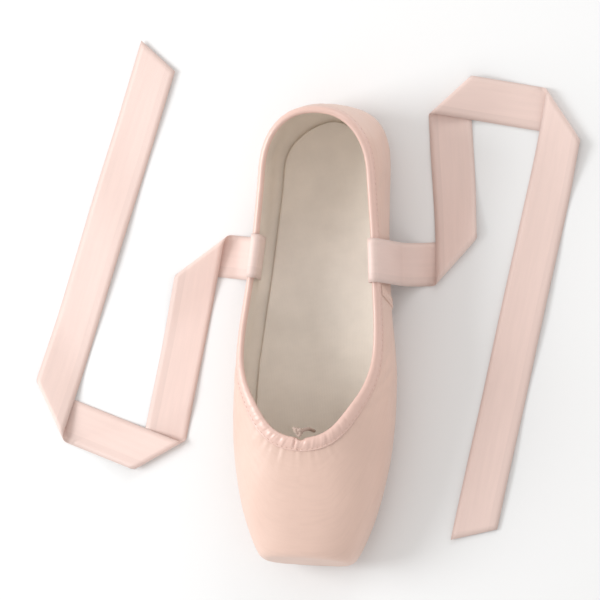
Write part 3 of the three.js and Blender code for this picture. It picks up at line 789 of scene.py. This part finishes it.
def build_binding(context):
    last = shoe_last(context)
    colours = context.scene.pointe_colours
    lines, edge = rib_lines(last, UPPER_RIBS)
    below, out = (np.array(BINDING_POINTS[name]) for name in ("below", "out"))
    edge = edge[:, None]

    def near(mark):
        return mark["depth"] * np.exp(-(((edge - mark["at"]) / mark["width"]) ** 2))

    notch = near(BINDING_NOTCH) * np.clip(1 - below / BINDING_NOTCH["reach"], 0, 1)
    points = places(lines, lines.ends() - below - notch)
    swell = np.sin(np.pi * np.clip(below / CRUMPLES["fold"], 0, 1)) ** 0.7
    waves = gathers(edge + CRUMPLES["slant"] * below)
    fine = sines(edge + CRUMPLES["fine_slant"] * below, *FINE_CRUMPLES)
    strength = CRUMPLES["sides"] + CRUMPLES["throat"] * throat_share(edge, CRUMPLES["throat_reach"])
    crumple = (waves + fine) * strength * swell
    slit = near(BINDING_SLIT) * (1 - smooth(below, *BINDING_SLIT["foot"]))
    from_dimple = (below - BINDING_DIMPLE["below"]) / BINDING_DIMPLE["width"]
    slit = slit + near(BINDING_DIMPLE) * np.exp(-(from_dimple**2))
    shown = (out > OUTER_FACE["inmost"]) & (below < OUTER_FACE["foot"])
    moved = np.where(shown, out + crumple * np.sign(out - OUTER_FACE["turn"]) - slit, out)
    points = points + last.outward(points) * moved[..., None]
    piece = grid_mesh("topline_binding", points, closed_rows=True, closed_columns=True)
    turned_out(piece)
    satin = satin_finish("binding_satin", colours.binding)
    return placed(piece, "binding", [satin], "binding")


def sole_stations(last, tip, back, count):
    """Places along X from a plate's tip to its back, closer together at the ends."""
    share = (1 - np.cos(np.linspace(0, math.pi, count))) / 2
    return last.length / 2 - mix(tip + 0.01, back - 0.01, share)


def plate(name, x, half, low_face, high_face, edge):
    """A closed plate with rounded edges between two faces, given as heights over plan places."""
    share = np.sin(np.linspace(-1, 1, PLATE_COLUMNS) * math.pi / 2)
    side = np.concatenate([share, share[::-1]])
    lower = np.arange(2 * PLATE_COLUMNS) < PLATE_COLUMNS
    y = half[:, None] * side
    grid_x = x[:, None] + 0 * y
    low, high = low_face(grid_x, y), high_face(grid_x, y)
    inset = np.clip((np.abs(y) - half[:, None]) / edge + 1, 0, 1)
    inset = np.maximum(inset, np.clip(1 - (half[:, None] / edge), 0, 1))
    squeeze = (1 - np.sqrt(1 - inset**2)) / 2
    thick = high - low
    z = np.where(lower, low + thick * squeeze, high - thick * squeeze)
    piece = grid_mesh(name, np.stack([grid_x, y, z], axis=-1), closed_columns=True)
    return turned_out(piece)


def build_outsole(context):
    last = shoe_last(context)
    sizes, colours = context.scene.pointe_sizes, context.scene.pointe_colours
    x = sole_stations(last, SOLE["tip"], SOLE["back"], SOLE["rows"])
    leather = sizes.sole_leather / MM

    def high(px, py):
        return last.underside(px, py) - GAP

    def low(px, py):
        skive = 1 - SKIVE["share"] * (1 - smooth(last.start(px) - SOLE["tip"], 0, SKIVE["reach"]))
        return np.maximum(0, high(px, py) - leather * skive)

    half = np.maximum(last.sole_half(x), 0)
    piece = plate("outsole_leather", x, half, low, high, SOLE["edge"])
    paint_edge(piece, last)
    return placed(piece, "outsole", [outsole_finish(colours.outsole, colours.sole_edge)], "outsole")


def paint_edge(piece, last):
    """Marks the outsole's rim for its dark edge."""
    layer = piece.data.color_attributes.new("edge", "FLOAT_COLOR", "POINT")
    x, y, _ = np.array([vert.co for vert in piece.data.vertices]).T / MM
    rim = last.sole_half(x) - np.abs(y)
    ends = np.minimum(last.start(x) - SOLE["tip"], SOLE["back"] - last.start(x))
    strength = 1 - smooth(np.minimum(rim, ends), SOLE_RIM["dark"], SOLE_RIM["clear"])
    marks = np.stack([strength, strength, strength, np.ones_like(strength)], axis=-1)
    layer.data.foreach_set("color", marks.ravel())


def build_insole(context):
    last = shoe_last(context)
    sizes, colours = context.scene.pointe_sizes, context.scene.pointe_colours
    tip = TOE_FAN * (1 - INSOLE["share"])
    back = HEEL_FAN + (last.length - HEEL_FAN) * INSOLE["share"]
    x = sole_stations(last, tip, back, INSOLE["rows"])
    start = last.start(x)
    waist = turning_point(
        0, last.ball_width, lambda y: last.field(x, y, np.full_like(x, WAIST_HEIGHT)) > 0, x.shape
    )
    half = waist * INSOLE["share"] * rounded_ends(start - tip, back - tip, INSOLE)
    board = sizes.insole_board / MM

    def low(px, py):
        return last.underside(px, py) + INSOLE["lift"]

    def high(px, py):
        pad = sines(px, *INSOLE_PAD["waves"]) * np.cos(py / INSOLE_PAD["across"])
        return low(px, py) + board + INSOLE_PAD["height"] * pad

    piece = plate("insole_cover", x, half, low, high, INSOLE["edge"])
    cotton = cotton_finish("insole_cotton", colours.insole, COTTON["thread"])
    return placed(piece, "insole", [cotton], "insole")


SEAM_ROWS = 60
SEAM_COLUMNS = 17
SEAM_STITCHED_COLUMNS = (4, 12)
SEAM_STITCHED_ROWS = slice(3, -2)


@functools.cache
def seam_grid(last):
    """Points of the left seam on the last with their outward directions: rows from the sole up to the
    binding, columns from back to front."""
    share = np.linspace(0, 1, SEAM_ROWS)
    middle = last.length / 2 - mix(SEAM["bottom"], SEAM["top"], share)
    foot = (middle[:, None] + np.linspace(-1, 1, SEAM_COLUMNS) * SEAM["width"] / 2).ravel()
    lines = last.lines(foot, np.full_like(foot, math.pi / 2))
    start, end = LASTING_MARGIN + 1, lines.ends() - BINDING_WIDTH - GAP
    at = mix(start, end, np.repeat(share, SEAM_COLUMNS)[:, None])
    points = places(lines, at).reshape(SEAM_ROWS, SEAM_COLUMNS, 3)
    return points, last.outward(points)


def seam_strip(last, side, proud):
    """Points of a side seam that stands proud of the last, thinner along both edges."""
    points, outward = seam_grid(last)
    thin = SEAM["thin"]
    edge = 1 - np.abs(np.linspace(-1, 1, SEAM_COLUMNS)) ** 8
    raised = points + outward * (thin + (proud - thin) * edge)[:, None]
    return raised * (1, side, 1)


def build_seam(context, side, name, node):
    last = shoe_last(context)
    piece = grid_mesh(name, seam_strip(last, side, SEAM["proud"]))
    face_outwards(piece)
    placed(piece, "satin", [upper_satin(context.scene.pointe_colours)], node)
    return walled(piece, SEAM["wall"], -1)


# Stitches: the length of one, its pitch along its row and its thickness.
STITCH = {"length": 1.7, "pitch": 2.6, "thickness": 0.36}


def stitch_row(bm, path, closed=False):
    """A row of stitches along a path of points."""
    path = np.concatenate([path, path[:1]]) if closed else path
    along = np.concatenate([[0], np.cumsum(np.linalg.norm(np.diff(path, axis=0), axis=1))])
    count = max(int(along[-1] / STITCH["pitch"]), 1)
    middles = (np.arange(count) + 0.5) * along[-1] / count
    half = STITCH["length"] / 2
    for middle in middles:
        start, end = (
            Vector([np.interp(middle + step, along, path[:, k]) for k in range(3)])
            for step in (-half, half)
        )
        turn = (end - start).to_track_quat("X", "Z").to_matrix().to_4x4()
        round_part = STITCH["thickness"] / 2
        shape = Matrix.Diagonal((half, round_part, round_part, 1))
        placing = Matrix.Scale(MM, 4) @ Matrix.Translation((start + end) / 2) @ turn @ shape
        bmesh.ops.create_icosphere(bm, subdivisions=1, radius=1, matrix=placing)


def thread_finish(colours):
    return bpy.data.materials.get("sewing_thread") or cotton_finish(
        "sewing_thread", colours.sewing, SEWING_THREAD, roughness=0.6
    )


def build_binding_stitches(context):
    last = shoe_last(context)
    lines, _ = rib_lines(last, UPPER_RIBS)
    points = places(lines, lines.ends() - BINDING_SEWING["below"])[:, 0]
    bm = bmesh.new()
    stitch_row(bm, points + last.outward(points) * BINDING_SEWING["out"], closed=True)
    piece = finished("binding_stitches", bm)
    return placed(piece, "binding", [thread_finish(context.scene.pointe_colours)])


def build_seam_stitches(context, side, name):
    last = shoe_last(context)
    strip = seam_strip(last, side, SEAM["proud"] + STITCH["thickness"] / 4)
    bm = bmesh.new()
    for column in SEAM_STITCHED_COLUMNS:
        stitch_row(bm, strip[SEAM_STITCHED_ROWS, column])
    piece = finished(name, bm)
    return placed(piece, "satin", [thread_finish(context.scene.pointe_colours)])


# Tacking that holds a ribbon, seen outside the quarter: its corners as distances from the platform and
# heights above the floor.
TACKING = {"start": (146, 146, 160, 160, 146), "height": (35, 23.5, 23.5, 35, 35)}
TACKING_PROUD = 0.05
TACKING_POINTS = 8


def build_tacking(context, side, name):
    last = shoe_last(context)
    bm = bmesh.new()
    corners = [np.array(corner) for corner in zip(TACKING["start"], TACKING["height"])]
    for corner, following in zip(corners, corners[1:]):
        shares = np.linspace(0, 1, TACKING_POINTS)
        edge = np.array([last.side(*mix(corner, following, share), side) for share in shares])
        stitch_row(bm, edge + last.outward(edge) * TACKING_PROUD)
    piece = finished(name, bm)
    return placed(piece, "satin", [thread_finish(context.scene.pointe_colours)])


def ribbon_bends(folds, drop):
    """Bends of a ribbon from its sewn end: over the binding, onto the floor, and its folds there."""
    over = math.pi - RIBBON_FLOOR["lean"] + RIBBON_OVER["lean"]
    down = math.pi / 2 - RIBBON_FLOOR["lean"]
    at = RIBBON["inside"]
    bends = [(at, 0, RIBBON_OVER["radius"], over)]
    at += RIBBON_OVER["radius"] * over + drop
    bends.append((at, 0, RIBBON_FLOOR["radius"], -down))
    at += RIBBON_FLOOR["radius"] * down
    radius, settle, settle_radius = (RIBBON_FOLD[k] for k in ("radius", "settle", "settle_radius"))
    fall = radius * (1 + math.cos(settle)) - settle_radius * (1 - math.cos(settle))
    for i, (after, degrees) in enumerate(zip(folds["after"], folds["skew"])):
        sign = -1 if i % 2 == 0 else 1
        skew = math.radians(degrees)
        at += after
        bends.append((at, skew, radius, sign * (math.pi + settle)))
        at += (radius * (math.pi + settle) + fall / math.sin(settle)) / math.cos(skew)
        bends.append((at, skew, settle_radius, -sign * settle))
        at += settle_radius * settle / math.cos(skew)
    return bends


def creased(point, flat, bend):
    """Turns a point of a flat ribbon about one crease. flat is where it lies on the flat ribbon."""
    at, skew, radius, turn = bend
    across = Vector((math.cos(skew), math.sin(skew), 0))
    crease = Vector((at, 0, 0))
    sign = math.copysign(1, turn)
    wrapped = min(max((flat - crease).dot(across), 0), radius * abs(turn))
    angle = wrapped / radius
    turned = Quaternion(across.cross(UP), sign * angle) @ (point - crease - across * wrapped)
    arc = across * radius * math.sin(angle) + UP * sign * radius * (1 - math.cos(angle))
    return turned + crease + arc


def ribbon_frame(last, width):
    """Where a left ribbon's sewn end lies, with its drop to the floor."""
    start = last.length / 2 - RIBBON["start"]
    foot = np.array([start, start + width / 2, start - width / 2])
    tops = last.lines(foot, np.full(3, math.pi / 2)).points[:, -1]
    along = Vector(tops[1] - tops[2])
    along.z = 0
    along.normalize()
    out = UP.cross(along)
    radius, lean = RIBBON_OVER["radius"], RIBBON_OVER["lean"]
    sewn = Vector(tops[0]) + out * (-RIBBON_OVER["inset"] - radius * math.cos(lean))
    sewn.z -= RIBBON_OVER["centre"] + radius * math.sin(lean)
    floor_lean = RIBBON_FLOOR["lean"]
    bend_top = sewn.z + radius * (math.sin(lean) + math.sin(floor_lean))
    floor_level = RIBBON["thickness"] / 2 + RIBBON_FLOOR["lift"]
    floor_bend = RIBBON_FLOOR["radius"] * (1 - math.sin(floor_lean))
    drop = (bend_top - floor_bend - floor_level) / math.cos(floor_lean)
    heading = UP * math.cos(lean) - out * math.sin(lean)
    origin = sewn - heading * RIBBON["inside"]
    basis = Matrix((heading, along, heading.cross(along))).transposed().to_4x4()
    return Matrix.Translation(origin) @ basis, drop


def ribbon_stations(bends, length):
    """Places along a ribbon with the slant of the line across it there."""
    rows = [(0.0, 0.0)]
    for at, skew, radius, turn in bends:
        span = radius * abs(turn) / math.cos(skew)
        steps = max(round(math.degrees(abs(turn)) / RIBBON_BEND["degrees"]), RIBBON_BEND["fewest"])
        rows += [(at + span * i / steps, skew) for i in range(steps + 1)]
    rows.append((length, RIBBON["cut"]))
    stations = []
    for (at, skew), (next_at, next_skew) in zip(rows, rows[1:]):
        parts = max(round((next_at - at) / RIBBON_STEP), 1)
        stations += [
            (mix(at, next_at, k / parts), math.atan(mix(math.tan(skew), math.tan(next_skew), k / parts)))
            for k in range(parts)
        ]
    return stations + rows[-1:]


def ribbon_lift(at, aside, bends):
    """How far the cloth lifts off the flat there: soft waves on the floor, none where it is sewn or near
    a fold."""
    waves = RIBBON_WAVES
    bounds = [bends[1][0] + waves["clear"]]
    for fold, settle in zip(bends[2::2], bends[3::2]):
        bounds += [fold[0], settle[0] + settle[2] * abs(settle[3]) / math.cos(settle[1])]
    bounds.append(math.inf)
    for i in range(0, len(bounds), 2):
        start, end = bounds[i], bounds[i + 1]
        if start < at < end:
            free = float(smooth(min(at - start, end - at), waves["still"], waves["full"]))
            turn = (at - start) / waves["reach"] + 0.6 * math.sin(at / waves["wander"]) + aside * 0.03
            wave = waves["height"] * (0.5 - 0.5 * math.cos(turn))
            up = -1 if i % 4 == 0 else 1
            return up * free * (wave + waves["cup"] * (aside / 11) ** 2)
    return 0.0


def ribbon_points(context, side, folds):
    """Points of a ribbon, rows along it and columns across."""
    last = shoe_last(context)
    sizes = context.scene.pointe_sizes
    width, length = sizes.ribbon_width / MM, sizes.ribbon_length / MM
    start, drop = ribbon_frame(last, width)
    bends = ribbon_bends(folds, drop)
    rows = []
    for at, skew in ribbon_stations(bends, length):
        row = []
        for aside in np.linspace(-width / 2, width / 2, RIBBON_COLUMNS):
            flat = Vector((at - aside * math.tan(skew), aside, ribbon_lift(at, aside, bends)))
            point = flat.copy()
            for bend in reversed(bends):
                point = creased(point, flat, bend)
            point = start @ point
            row.append((point.x, side * point.y, point.z))
        rows.append(row)
    return np.array(rows)


def build_ribbon(context, side, folds, name, node):
    sizes, colours = context.scene.pointe_sizes, context.scene.pointe_colours
    piece = grid_mesh(name, ribbon_points(context, side, folds))
    satin = bpy.data.materials.get("ribbon_satin") or ribbon_finish(colours.ribbon, sizes.ribbon_width)
    placed(piece, "ribbon", [satin], node)
    walled(piece, RIBBON["cloth"], 0)
    return piece


def ribbon_finish(colour, width):
    """Ribbon satin: fine ribs across, a darker woven edge along both sides."""
    finish = Finish("ribbon_satin", Roughness=0.4, Sheen_Weight=0.15, Anisotropic=0.3)
    uv = finish.coords.outputs["UV"]
    across = finish.add("SeparateXYZ", {0: uv}).outputs["Y"]
    aside = finish.maths("ABSOLUTE", finish.maths("SUBTRACT", across, width / 2))
    selvage = finish.maths("MULTIPLY", finish.range(aside, *RIBBON_WEAVE["selvage"]), 0.4)
    tone = finish.stretched_noise(RIBBON_WEAVE["streaks"])
    base = finish.blend(finish.range(tone, 0.3, 0.7), shade(colour, 0.975), shade(colour, 1.015))
    finish.set("Base Color", finish.blend(selvage, base, shade(colour, 0.85)))
    ribs = finish.wave(uv, RIBBON_WEAVE["rib"], "X")
    finish.set("Normal", finish.bump(ribs, RIBBON_WEAVE["proud"]))
    return finish.material


def strand_tube(name, path, radius, closed=False):
    """A round strand along a path, which closes on itself or has two rounded ends."""
    path = [Vector(p) for p in path]
    count = len(path)
    rows = []
    side = Vector((1, 0.2, 0.1))
    for i, point in enumerate(path):
        if closed:
            ahead = (path[(i + 1) % count] - path[i - 1]).normalized()
        else:
            ahead = (path[min(i + 1, count - 1)] - path[max(i - 1, 0)]).normalized()
        side = (side - ahead * side.dot(ahead)).normalized()
        other = ahead.cross(side)
        reach = 1 if closed else min(min(i, count - 1 - i) / 2 + 0.05, 1) ** 0.5
        turns = [2 * math.pi * k / STRAND_SIDES for k in range(STRAND_SIDES)]
        rows.append([point + (side * math.cos(t) + other * math.sin(t)) * radius * reach for t in turns])
    return turned_out(grid_mesh(name, np.array(rows), closed_rows=closed, closed_columns=True))


def spline(points, count):
    """Points along a smooth curve through a few points."""
    points = np.array(points, float)
    p = np.array([2 * points[0] - points[1], *points, 2 * points[-1] - points[-2]])
    t = np.linspace(0, len(points) - 1 - 1e-9, count)
    i = t.astype(int)
    f = (t - i)[:, None]
    a, b, c, d = p[i], p[i + 1], p[i + 2], p[i + 3]
    return 0.5 * (2 * b + (c - a) * f + (2 * a - 5 * b + 4 * c - d) * f**2 + (3 * b - a - 3 * c + d) * f**3)


def build_drawstring(context):
    """The knot at the throat and the two hanging ends, which are one cord through the knot."""
    last = shoe_last(context)
    colours = context.scene.pointe_colours
    lines = last.lines([last.length / 2 - TOE_FAN], [0.0])
    before, throat = lines.points[0, -2:]
    past = (throat - before) / np.linalg.norm(throat - before)
    outward = last.outward(throat)
    knot = throat + past * (DRAWSTRING["knot"] + GAP) - outward * DRAWSTRING["inset"]
    # The cord's colour holds painted shade as well as the cord's own darker tone.
    cotton = cotton_finish("drawstring_cotton", colours.thread, CORD_THREAD)

    turns = np.linspace(0, 2 * math.pi, KNOT["points"], endpoint=False)
    aside = np.sin(turns) + 2 * np.sin(2 * turns)
    along = np.cos(turns) - 2 * np.cos(2 * turns)
    depth = -KNOT["depth"] * np.sin(3 * turns)
    loops = np.stack([aside, along, depth], axis=-1) @ np.array([(0, 1, 0), past, outward])
    knot_piece = strand_tube(
        "drawstring_knot", knot + loops * KNOT["scale"], KNOT["strand"], closed=True
    )
    placed(knot_piece, "drawstring", [cotton], "drawstring")

    forward, aside, down = (np.array(DRAWSTRING_END[k]) for k in ("forward", "aside", "down"))
    left = np.stack([knot[0] + forward, aside, knot[2] - down], axis=-1)[::-1]
    right = left[::-1][1:] * (1, -1, 1)
    path = spline(np.concatenate([left, right]), DRAWSTRING["points"])
    piece = strand_tube("drawstring_ends", path, DRAWSTRING["diameter"] / 2)
    placed(piece, "drawstring", [cotton], "drawstring")
    return piece


# The stage.

CAMERA = {
    "direction": Vector((0.052, 0.225, 0.973)),
    "distance": 2200,
    "lens": 262,
    "target": Vector((-17, -11, 18)),
    "roll": math.radians(3),
    "sensor": 36,
    "nearest": 50,
}
FLOOR = {"size": 4, "below": 0.0002, "tone": (0.86, 0.86, 0.86, 1)}
STUDIO = {"colour": (1, 0.985, 0.97, 1), "strength": 0.75}
KEY_LIGHT = {"place": (0.04, -1.1, 0.78), "size": 0.8, "power": 12, "colour": (0.95, 0.98, 1)}
BACK_LIGHT = {"place": (-0.95, 0.3, 0.55), "size": 0.5, "power": 2, "colour": (1, 1, 1)}


def build_camera():
    data = bpy.data.cameras.new("photo_camera")
    camera = bpy.data.objects.new("photo_camera", data)
    bpy.context.scene.collection.objects.link(camera)
    towards = CAMERA["direction"].normalized()
    up = Vector((-1, 0, 0))
    right = (-towards).cross(up).normalized()
    up = towards.cross(right)
    turn = Quaternion(towards, CAMERA["roll"])
    right, up = turn @ right, turn @ up
    place = (CAMERA["target"] + towards * CAMERA["distance"]) * MM
    camera.matrix_world = Matrix.Translation(place) @ Matrix((right, up, towards)).transposed().to_4x4()
    data.lens = CAMERA["lens"]
    data.sensor_width = CAMERA["sensor"]
    data.clip_start = CAMERA["nearest"] * MM
    bpy.context.scene.camera = camera


def area_light(name, place, size, power, colour):
    data = bpy.data.lights.new(name, "AREA")
    data.shape = "DISK"
    data.size, data.energy, data.color = size, power, colour
    light = bpy.data.objects.new(name, data)
    bpy.context.scene.collection.objects.link(light)
    light.location = place
    light.rotation_euler = (-Vector(place)).to_track_quat("-Z", "Y").to_euler()


def build_stage():
    bm = bmesh.new()
    bmesh.ops.create_grid(bm, x_segments=1, y_segments=1, size=FLOOR["size"])
    floor = finished("floor", bm)
    floor.location = (0, 0, -FLOOR["below"])
    finish = Finish("pale_floor", Base_Color=FLOOR["tone"], Roughness=0.85)
    floor.data.materials.append(finish.material)
    world = bpy.data.worlds.new("studio")
    world.use_nodes = True
    background = world.node_tree.nodes["Background"]
    background.inputs["Color"].default_value = STUDIO["colour"]
    background.inputs["Strength"].default_value = STUDIO["strength"]
    bpy.context.scene.world = world
    area_light("key", **KEY_LIGHT)
    area_light("back", **BACK_LIGHT)
    bpy.context.scene.view_settings.view_transform = "Standard"


# The panel's sizes and colours, and the operators.


def distance(name, description, default):
    return bpy.props.FloatProperty(
        name=name, description=description, default=default, min=0, unit="LENGTH", subtype="DISTANCE"
    )


def colour(name, description, default):
    return bpy.props.FloatVectorProperty(
        name=name, description=description, default=default, size=4, min=0, max=1, subtype="COLOR"
    )


class PointeSizes(bpy.types.PropertyGroup):
    length: distance("Length", "Back of the heel to the platform", 0.232)
    ball_width: distance("Ball width", "Widest part of the box", 0.082)
    instep: distance("Instep", "Height of the throat above the floor", 0.053)
    heel_height: distance("Heel height", "Height of the topline at the back", 0.055)
    vamp: distance("Vamp", "Throat to platform along the floor", 0.063)
    wall: distance("Wall", "Satin, canvas and lining together", 0.0016)
    sole_leather: distance("Outsole", "Thickness of the outsole's leather", 0.0028)
    insole_board: distance("Insole", "Thickness of the insole", 0.0018)
    ribbon_width: distance("Ribbon width", "Width of a tie ribbon", 0.022)
    ribbon_length: distance("Ribbon length", "Length of a tie ribbon", 0.46)


class PointeColours(bpy.types.PropertyGroup):
    satin: colour("Satin", "Satin of the upper", (0.77, 0.54, 0.45, 1))
    binding: colour("Binding", "Satin of the binding", (0.78, 0.53, 0.455, 1))
    lining: colour("Lining", "Cotton lining", (0.84, 0.76, 0.67, 1))
    insole: colour("Insole", "Cover of the insole", (0.84, 0.77, 0.69, 1))
    outsole: colour("Outsole", "Leather of the outsole", (0.45, 0.3, 0.24, 1))
    sole_edge: colour("Sole edge", "Burnished edge of the outsole", (0.22, 0.1, 0.06, 1))
    ribbon: colour("Ribbon", "Satin of the ribbons", (0.82, 0.63, 0.57, 1))
    # Drawstring: the cord's own greyish brown, darkened further with painted shade for the knot and the
    # ends that hang inside the shoe.
    thread: colour("Drawstring", "Cotton of the drawstring", (0.5, 0.37, 0.31, 1))
    sewing: colour("Thread", "Thread of the stitching", (0.78, 0.56, 0.47, 1))


class POINTE_OT_upper(bpy.types.Operator):
    """Make the satin upper"""

    bl_idname = "pointe.upper"
    bl_label = "Upper"

    def execute(self, context):
        build_upper(context)
        return {"FINISHED"}


class POINTE_OT_binding(bpy.types.Operator):
    """Make the binding round the topline"""

    bl_idname = "pointe.binding"
    bl_label = "Binding"

    def execute(self, context):
        build_binding(context)
        return {"FINISHED"}


class POINTE_OT_side_seams(bpy.types.Operator):
    """Make the two side seams"""

    bl_idname = "pointe.side_seams"
    bl_label = "Side seams"

    def execute(self, context):
        build_seam(context, 1, "seam_left", "side_seam_left")
        build_seam(context, -1, "seam_right", "side_seam_right")
        return {"FINISHED"}


class POINTE_OT_stitching(bpy.types.Operator):
    """Make the stitches of the binding, the side seams and the ribbons' tacking"""

    bl_idname = "pointe.stitching"
    bl_label = "Stitching"

    def execute(self, context):
        build_binding_stitches(context)
        for side, name in ((1, "left"), (-1, "right")):
            build_seam_stitches(context, side, f"seam_stitches_{name}")
            build_tacking(context, side, f"ribbon_tacking_{name}")
        return {"FINISHED"}


class POINTE_OT_outsole(bpy.types.Operator):
    """Make the leather outsole"""

    bl_idname = "pointe.outsole"
    bl_label = "Outsole"

    def execute(self, context):
        build_outsole(context)
        return {"FINISHED"}


class POINTE_OT_insole(bpy.types.Operator):
    """Make the insole"""

    bl_idname = "pointe.insole"
    bl_label = "Insole"

    def execute(self, context):
        build_insole(context)
        return {"FINISHED"}


class POINTE_OT_ribbons(bpy.types.Operator):
    """Make the two tie ribbons"""

    bl_idname = "pointe.ribbons"
    bl_label = "Ribbons"

    def execute(self, context):
        build_ribbon(context, 1, LEFT_FOLDS, "tie_ribbon_left", "ribbon_left")
        build_ribbon(context, -1, RIGHT_FOLDS, "tie_ribbon_right", "ribbon_right")
        return {"FINISHED"}


class POINTE_OT_drawstring(bpy.types.Operator):
    """Make the drawstring's knot and ends"""

    bl_idname = "pointe.drawstring"
    bl_label = "Drawstring"

    def execute(self, context):
        build_drawstring(context)
        return {"FINISHED"}


class POINTE_OT_stage(bpy.types.Operator):
    """Make the camera, the lights and the floor"""

    bl_idname = "pointe.stage"
    bl_label = "Stage"

    def execute(self, context):
        build_camera()
        build_stage()
        return {"FINISHED"}


OPERATORS = (
    POINTE_OT_stage,
    POINTE_OT_upper,
    POINTE_OT_binding,
    POINTE_OT_side_seams,
    POINTE_OT_outsole,
    POINTE_OT_insole,
    POINTE_OT_ribbons,
    POINTE_OT_drawstring,
    POINTE_OT_stitching,
)


class POINTE_PT_panel(bpy.types.Panel):
    """Lists the shoe's sizes, colours and pieces"""

    bl_idname = "POINTE_PT_panel"
    bl_label = "Pointe Shoe"
    bl_space_type = "VIEW_3D"
    bl_region_type = "UI"
    bl_category = "Pointe Shoe"

    def draw(self, context):
        for group in (context.scene.pointe_sizes, context.scene.pointe_colours):
            box = self.layout.box()
            for name in group.__annotations__:
                box.prop(group, name)
        for operator in OPERATORS:
            self.layout.operator(operator.bl_idname)


CLASSES = (PointeSizes, PointeColours, *OPERATORS, POINTE_PT_panel)


def register():
    for cls in CLASSES:
        bpy.utils.register_class(cls)
    bpy.types.Scene.pointe_sizes = bpy.props.PointerProperty(type=PointeSizes)
    bpy.types.Scene.pointe_colours = bpy.props.PointerProperty(type=PointeColours)


def unregister():
    del bpy.types.Scene.pointe_colours
    del bpy.types.Scene.pointe_sizes
    for cls in reversed(CLASSES):
        bpy.utils.unregister_class(cls)


def main():
    register()
    bpy.ops.pointe.stage()
    bpy.ops.pointe.upper()
    bpy.ops.pointe.binding()
    bpy.ops.pointe.side_seams()
    bpy.ops.pointe.outsole()
    bpy.ops.pointe.insole()
    bpy.ops.pointe.ribbons()
    bpy.ops.pointe.drawstring()
    bpy.ops.pointe.stitching()


if __name__ == "__main__":
    main()
